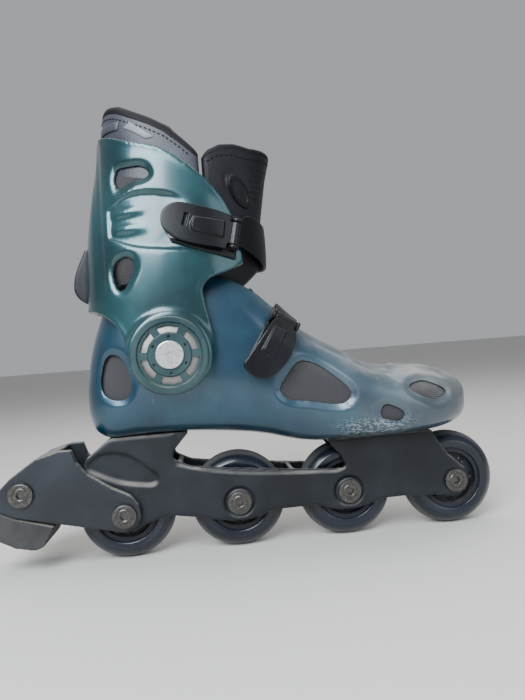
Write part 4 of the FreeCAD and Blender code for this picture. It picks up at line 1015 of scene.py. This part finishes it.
def makeTongue():
    upper, tagged = paddedWall("tongueWall", tongueStations, True, -50.5, tongueTop, tongueLow, 0.2, 5.6,
                               3.6, 200, 0.3)
    finished(upper, tagged, [tongueFinish, tongueFinish, pipingFinish, linerMesh])
    sculptTongue(upper)
    lower = softCopy("tongue_lower", "tongueLower", tongueFinish, 1.3)
    tongue = joined("tongue", [upper, lower])
    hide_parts("tongue_lower", "tongue_upper")
    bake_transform(tongue)


makeLiner()
makeTongue()
print("liner and tongue ready")

# ---- repeated details, each spread by a node tree
trimSizes = dict(stitchGap=3.4, stitchLong=2.3, stitchThick=0.42, holeRadius=0.95, holeDepth=0.5)


def newTree(name, inputs):
    tree = bpy.data.node_groups.new(name, "GeometryNodeTree")
    tree.interface.new_socket(name="Geometry", in_out="INPUT", socket_type="NodeSocketGeometry")
    for label, kind, value in inputs:
        socket = tree.interface.new_socket(name=label, in_out="INPUT", socket_type=kind)
        if value is not None:
            socket.default_value = value
    tree.interface.new_socket(name="Geometry", in_out="OUTPUT", socket_type="NodeSocketGeometry")
    return tree, tree.nodes.new("NodeGroupInput"), tree.nodes.new("NodeGroupOutput")


def endTree(tree, start, end, geometry):
    realise = tree.nodes.new("GeometryNodeRealizeInstances")
    paint = tree.nodes.new("GeometryNodeSetMaterial")
    tree.links.new(geometry, realise.inputs["Geometry"])
    tree.links.new(realise.outputs["Geometry"], paint.inputs["Geometry"])
    tree.links.new(start.outputs["Finish"], paint.inputs["Material"])
    tree.links.new(paint.outputs["Geometry"], end.inputs["Geometry"])


def makeStitchTree():
    tree, start, end = newTree("stitchRow", [
        ("Gap", "NodeSocketFloat", 0.003), ("Long", "NodeSocketFloat", 0.002),
        ("Thick", "NodeSocketFloat", 0.0004), ("Finish", "NodeSocketMaterial", None)])
    toCurve = tree.nodes.new("GeometryNodeMeshToCurve")
    spread = tree.nodes.new("GeometryNodeResampleCurve")
    spread.mode = "LENGTH"
    tangent = tree.nodes.new("GeometryNodeInputTangent")
    turn = tree.nodes.new("FunctionNodeAlignRotationToVector")
    turn.axis = "Z"
    stitch = tree.nodes.new("GeometryNodeMeshIcoSphere")
    stitch.inputs["Radius"].default_value = 1
    stitch.inputs["Subdivisions"].default_value = 2
    size = tree.nodes.new("ShaderNodeCombineXYZ")
    half = tree.nodes.new("ShaderNodeMath")
    half.operation = "MULTIPLY"
    half.inputs[1].default_value = 0.5
    scatter = tree.nodes.new("GeometryNodeInstanceOnPoints")
    links = tree.links
    links.new(start.outputs["Geometry"], toCurve.inputs["Mesh"])
    links.new(toCurve.outputs["Curve"], spread.inputs["Curve"])
    links.new(start.outputs["Gap"], spread.inputs["Length"])
    links.new(spread.outputs["Curve"], scatter.inputs["Points"])
    links.new(tangent.outputs["Tangent"], turn.inputs["Vector"])
    links.new(turn.outputs["Rotation"], scatter.inputs["Rotation"])
    links.new(stitch.outputs["Mesh"], scatter.inputs["Instance"])
    links.new(start.outputs["Long"], half.inputs[0])
    links.new(half.outputs[0], size.inputs["Z"])
    links.new(start.outputs["Thick"], size.inputs["X"])
    links.new(start.outputs["Thick"], size.inputs["Y"])
    links.new(size.outputs["Vector"], scatter.inputs["Scale"])
    endTree(tree, start, end, scatter.outputs["Instances"])
    return tree


# spreads flat discs for holes, not cuts; the black finish they are given is painted shade
def makeHoleTree():
    tree, start, end = newTree("punchedHoles", [
        ("Radius", "NodeSocketFloat", 0.001), ("Depth", "NodeSocketFloat", 0.0004),
        ("Finish", "NodeSocketMaterial", None)])
    normal = tree.nodes.new("GeometryNodeInputNormal")
    turn = tree.nodes.new("FunctionNodeAlignRotationToVector")
    turn.axis = "Z"
    disc = tree.nodes.new("GeometryNodeMeshCylinder")
    disc.inputs["Vertices"].default_value = 14
    scatter = tree.nodes.new("GeometryNodeInstanceOnPoints")
    links = tree.links
    toPoints = tree.nodes.new("GeometryNodeMeshToPoints")
    toPoints.mode = "FACES"
    keep = tree.nodes.new("GeometryNodeCaptureAttribute")
    keep.domain = "FACE"
    keep.capture_items.new("VECTOR", "facing")
    links.new(start.outputs["Geometry"], keep.inputs["Geometry"])
    links.new(normal.outputs["Normal"], keep.inputs[1])
    links.new(keep.outputs["Geometry"], toPoints.inputs["Mesh"])
    links.new(toPoints.outputs["Points"], scatter.inputs["Points"])
    links.new(keep.outputs[1], turn.inputs["Vector"])
    links.new(turn.outputs["Rotation"], scatter.inputs["Rotation"])
    links.new(start.outputs["Radius"], disc.inputs["Radius"])
    links.new(start.outputs["Depth"], disc.inputs["Depth"])
    links.new(disc.outputs["Mesh"], scatter.inputs["Instance"])
    endTree(tree, start, end, scatter.outputs["Instances"])
    return tree


def grown(piece, tree, **values):
    modifier = piece.modifiers.new("spread", "NODES")
    modifier.node_group = tree
    for item in tree.interface.items_tree:
        if item.item_type == "SOCKET" and item.in_out == "INPUT" and item.name in values:
            modifier[item.identifier] = values[item.name]
    bake(piece)
    return smoothShaded(piece, 40)


def skinPoint(stations, x, level, side, lift):
    centre, long, half = sectionAt(stations, level)
    share = min(1.0, abs(x - centre) / (long + lift))
    return Vector((x, side * (half + lift) * (1 - share ** 2.4) ** (1 / 2.4), level + soleLevel))


def onFlank(stations, x, level):  # clear of the rounded ends of a section
    centre, long, half = sectionAt(stations, level)
    return abs(x - centre) < 0.93 * long


def polyline(name, points):
    mesh = bpy.data.meshes.new(name)
    mesh.from_pydata([tuple(point * mm) for point in points], [(i, i + 1) for i in range(len(points) - 1)],
                     [])
    return inScene(name, mesh)


stitchTree = makeStitchTree()
holeTree = makeHoleTree()
cuffRim = [(-150, 238), (-128, 236), (-112, 230), (-100, 222), (-80, 215), (-58, 200)]


def stitched(row):
    return grown(row, stitchTree, Gap=trimSizes["stitchGap"] * mm, Long=trimSizes["stitchLong"] * mm,
                 Thick=trimSizes["stitchThick"] * mm, Finish=pipingFinish)


def collarStitches(side, label):  # two rows, where the collar shows above the cuff
    rows = []
    for drop in (9.0, 24):
        path = []
        for x in np.linspace(-121, -60, 60):
            if levelAlong(collarTop, x) - drop > levelAlong(cuffRim, x):
                path.append(skinPoint(legStations, x, float(levelAlong(collarTop, x)) - drop, side, -3.35))
        if len(path) > 3:
            rows.append(polyline("stitchLine", path))
    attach(stitched(joined("collarStitches" + label, rows)), "cuff")


def tongueStitches(side, label):
    seam = [skinPoint(tongueStations, x, float(levelAlong(tongueTop, x)) - 8.5, side, 0.35)
            for x in np.linspace(-46, 0, 60)]
    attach(stitched(polyline("tongueStitches" + label, seam)), "cuff")


def tongueHoles(side, label):  # each small facet faces outwards and carries one hole, drawn as a black disc whose black is painted shade
    corners, facets = [], []
    for row in range(6):
        for column in range(5):
            level = 201.5 - row * 3.9
            x = -15.5 + column * 3.1 + (1.5 if row % 2 else 0) - row * 0.25
            if not onFlank(tongueStations, x + 0.6, level):
                continue
            a = skinPoint(tongueStations, x, level, side, 0.12)
            b = skinPoint(tongueStations, x + 0.6, level, side, 0.12)
            c = skinPoint(tongueStations, x, level + 0.6, side, 0.12)
            first = len(corners)
            corners += [a, b, c] if side < 0 else [a, c, b]
            facets.append((first, first + 1, first + 2))
    mesh = bpy.data.meshes.new("holes")
    mesh.from_pydata([tuple(point * mm) for point in corners], [], facets)
    holes = grown(inScene("tongueHoles" + label, mesh), holeTree, Radius=trimSizes["holeRadius"] * mm,
                  Depth=trimSizes["holeDepth"] * mm, Finish=holeShadeFinish)
    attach(holes, "cuff")


for side, label in ((-1, "Outer"), (1, "Inner")):
    collarStitches(side, label)
    tongueStitches(side, label)
    tongueHoles(side, label)
print("stitches and holes ready")


# ---- washer under each pivot ring, and the pull patch and tab on the collar
washerFinish = steelFinish("washerZinc", (0.27, 0.26, 0.25, 1), 0.45)
for side, label in ((-1, "Outer"), (1, "Inner")):
    ring = [(13, 53.0), (21.4, 53.0), (21.6, 53.15), (21.4, 53.35), (13, 53.35)]
    washer = lathe("ringWasher" + label, [(r, side * y) for r, y in ring], (pivot.x, 0, pivot.z), 72,
                   washerFinish)
    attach(washer, "cuff")


def patch(name, corners, lift, finish, bulge):
    # a small padded sheet on the collar's outer side, from four corners given as (x, level)
    a, b, c, d = [Vector(corner) for corner in corners]
    steps = 14
    points, faces = [], []
    for layerLift in (lift - 0.8, lift):
        for i in range(steps + 1):
            for j in range(steps + 1):
                u, v = i / steps, j / steps
                flat = a.lerp(b, u).lerp(d.lerp(c, u), v)
                crown = (16 * u * (1 - u) * v * (1 - v)) ** 0.35 * bulge if layerLift == lift else 0
                points.append(skinPoint(legStations, flat.x, flat.y, -1, layerLift + crown))
    count = (steps + 1) ** 2
    row = steps + 1
    for i in range(steps):
        for j in range(steps):
            k = i * row + j
            faces.append([k, k + 1, k + row + 1, k + row])
            faces.append([count + k, count + k + row, count + k + row + 1, count + k + 1])
    edge = list(range(steps)) + [i * row + steps for i in range(steps)]
    edge += [steps * row + j for j in range(steps, 0, -1)] + [i * row for i in range(steps, 0, -1)]
    for i, k in enumerate(edge):
        after = edge[(i + 1) % len(edge)]
        faces.append([k, count + k, count + after, after])
    piece = facedOut(meshObject(name, points, faces, finish))
    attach(piece, "cuff")
    return smoothShaded(piece, 60)


def ovalPad():
    # a rubber oval with a raised rim, on the flank of the tongue
    profile = [(1.12, -0.5), (1.10, 0.25), (1.02, 0.85), (0.92, 0.95), (0.84, 0.45), (0.74, 0.05),
               (0.5, -0.1), (0.25, 0.1), (0.02, 0.2)]
    steps = 72
    for side in (-1, 1):
        points, faces = [], []
        for share, lift in profile:
            for k in range(steps):
                angle = 2 * math.pi * k / steps
                along, beside = 11.5 * share * math.sin(angle), 5.6 * share * math.cos(angle)
                x = -25 - 0.42 * along + 0.907 * beside
                level = 185 + 0.907 * along + 0.42 * beside
                points.append(skinPoint(tongueStations, x, level, side, lift + 0.15))
        for ringIndex in range(len(profile) - 1):
            for k in range(steps):
                a, b = ringIndex * steps + k, ringIndex * steps + (k + 1) % steps
                faces.append([a, b, b + steps, a + steps] if side < 0 else [a, a + steps, b + steps, b])
        last = (len(profile) - 1) * steps
        lid = list(range(last, last + steps))
        faces.append(lid if side < 0 else lid[::-1])
        label = "Outer" if side < 0 else "Inner"
        piece = smoothShaded(meshObject("ovalPad" + label, points, faces, strapFinish), 50)
        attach(piece, "cuff")


def screwHeads():
    # a domed, ringed head over each axle bolt and over the brake bolt, on both sides
    for name in ("axle_1_bolt", "axle_2_bolt", "axle_3_bolt", "axle_4_bolt", "brake_bolt"):
        node = nodes[name]
        corners = np.array([list(node.matrix_world @ vertex.co) for vertex in node.data.vertices]) / mm
        low, high = corners.min(axis=0), corners.max(axis=0)
        middle = (low + high) / 2
        for side, face in ((-1, low[1]), (1, high[1])):
            near = corners[np.abs(corners[:, 1] - face) < 1.2]
            reach = float(np.hypot(near[:, 0] - middle[0], near[:, 2] - middle[2]).max())
            shape = [(2.9, 1.6), (2.9, -0.15), (3.3, -0.4), (4.5, -0.45), (5.2, -0.25), (5.35, 0.05),
                     (5.6, 0.08), (5.8, -0.2),
                     (reach * 0.86, -0.15), (reach * 0.97, 0.1), (reach + 0.12, 0.6), (reach + 0.12, 1.3),
                     (reach - 0.6, 1.6)]
            run = [(radius, face - side * depth) for radius, depth in shape]
            label = "HeadOuter" if side < 0 else "HeadInner"
            head = lathe(name + label, run, (middle[0], 0, middle[2]), 64, wornSteel)
            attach(head, "boot")


wornSteel = steelFinish("wornHeads", (0.085, 0.082, 0.078, 1), 0.3)
ovalPad()
screwHeads()
patch("pullPatch", [(-103, 233), (-98.5, 236.5), (-82, 224), (-88, 223)], -2.9, patchFinish, 0.6)
patch("heelTab", [(-122, 239), (-106, 238.5), (-107.5, 232.5), (-122, 233.5)], -2.9, linerVinyl, 1.0)


# ---- moulded pieces
frameSizes = dict(dish=2.3, ringDeep=1.6, ringInside=8.9, ringOutside=10.9)
frameOval = smoothRun([(-151, 71.5), (-145, 79), (-131.4, 82), (-116, 77.5), (-104, 68), (-97.4, 59),
                       (-100, 54.5), (-109.3, 53.6),
                       (-126.9, 57.3), (-142, 64), (-151, 71.5)])


def sculptFrame(flat):
    face = ease((np.abs(flat[:, 1]) - 17.2) / 1.2)  # only the outer faces of the rails
    side = flat[:, [0, 2]]
    gap = distanceTo(frameOval, side)
    depth = frameSizes["dish"] * ease((-gap + 0.4) / 4.0)
    for number in (2, 3):
        x = hinge("wheel_%d_spin" % number)["pos_m"][0] / mm
        radius = np.hypot(side[:, 0] - x, side[:, 1] - wheelSizes["radius"])
        ring = ease((radius - frameSizes["ringInside"] + 1.2) / 1.2)
        ring = ring * ease((frameSizes["ringOutside"] + 0.8 - radius) / 1.2)
        depth = np.maximum(depth, frameSizes["ringDeep"] * ring)
    ledge = smoothRun([(-84, 66), (-58, 59), (-32, 55), (0, 52), (47, 49.5)])
    line = np.interp(side[:, 0], ledge[:, 0], ledge[:, 1])
    above = ease((side[:, 1] - line) / 2.2) * ease((side[:, 0] + 90) / 8) * ease((40 - side[:, 0]) / 8)
    depth = np.maximum(depth, 1.3 * above)
    flat[:, 1] -= np.sign(flat[:, 1]) * depth * face
    return flat


moulded(["frame"], "frameMoulding", "boot", frameFinish, 1.2, shaping=sculptFrame)
moulded(["brake_housing"], "brakeArms", "boot", brakeFinish, 1.0)
moulded(["brake_pad"], "brakeBlock", "boot", padFinish, 1.0)
moulded(["cuff_spoiler"], "heelFin", "cuff", finFinish, 0.9)


leverSlot = dict(centre=(-64.6, 237.8), wide=2.4, tall=8.5, deep=2.2)


def sculptLever(flat):  # a slot beside the raised block, sunk from the outer face
    across = flat[:, [0, 2]] - np.array(leverSlot["centre"])
    along, beside = across @ np.array((0.951, -0.309)), across @ np.array((0.309, 0.951))
    inside = ease((leverSlot["wide"] / 2 + 0.3 - np.abs(along)) / 0.6)
    inside = inside * ease((leverSlot["tall"] / 2 + 0.3 - np.abs(beside)) / 0.6)
    close = np.hypot(along, beside) < 8
    outer = flat[close, 1].min() if close.any() else -60
    flat[:, 1] += leverSlot["deep"] * inside * ease((outer + 2.6 - flat[:, 1]) / 0.6)
    return flat


for label in ("cuff", "instep"):
    holder = "cuff" if label == "cuff" else "boot"
    moulded([label + "_lever", label + "_lever_catch"], label + "LeverArm", label + "_lever", buckleFinish,
            0.45, 5,
            shaping=sculptLever if label == "cuff" else None)
    moulded([label + "_buckle_base"], label + "BucklePlate", holder, buckleFinish, 0.5, 12)
    moulded([label + "_strap"], label + "StrapBand", holder, strapFinish, 0.55, 4)
    moulded([label + "_strap_anchor"], label + "AnchorPlate", holder, buckleFinish, 0.55,
            4)
moulded(["footbed"], "footbedSheet", "boot", footbedFinish, 1.4)

# ---- nodes that stay as they are, with their finish
nodeFinishes = (  # the first line with a word of the node's name counts
    (("bolt", "screw", "_pin", "nuts", "races", "bearings"), steel),
    (("rivet",), silver),
    (("pivot_ring",), ringFinish),
    (("_core", "_tyre"), coreFinish),
    (("liner",), linerMesh),
    (("tongue",), tongueFinish),
)
for name, node in nodes.items():
    if node.hide_render:
        continue
    finish = next((finish for words, finish in nodeFinishes if any(word in name for word in words)), None)
    if finish:
        node.data.materials.clear()
        node.data.materials.append(finish)
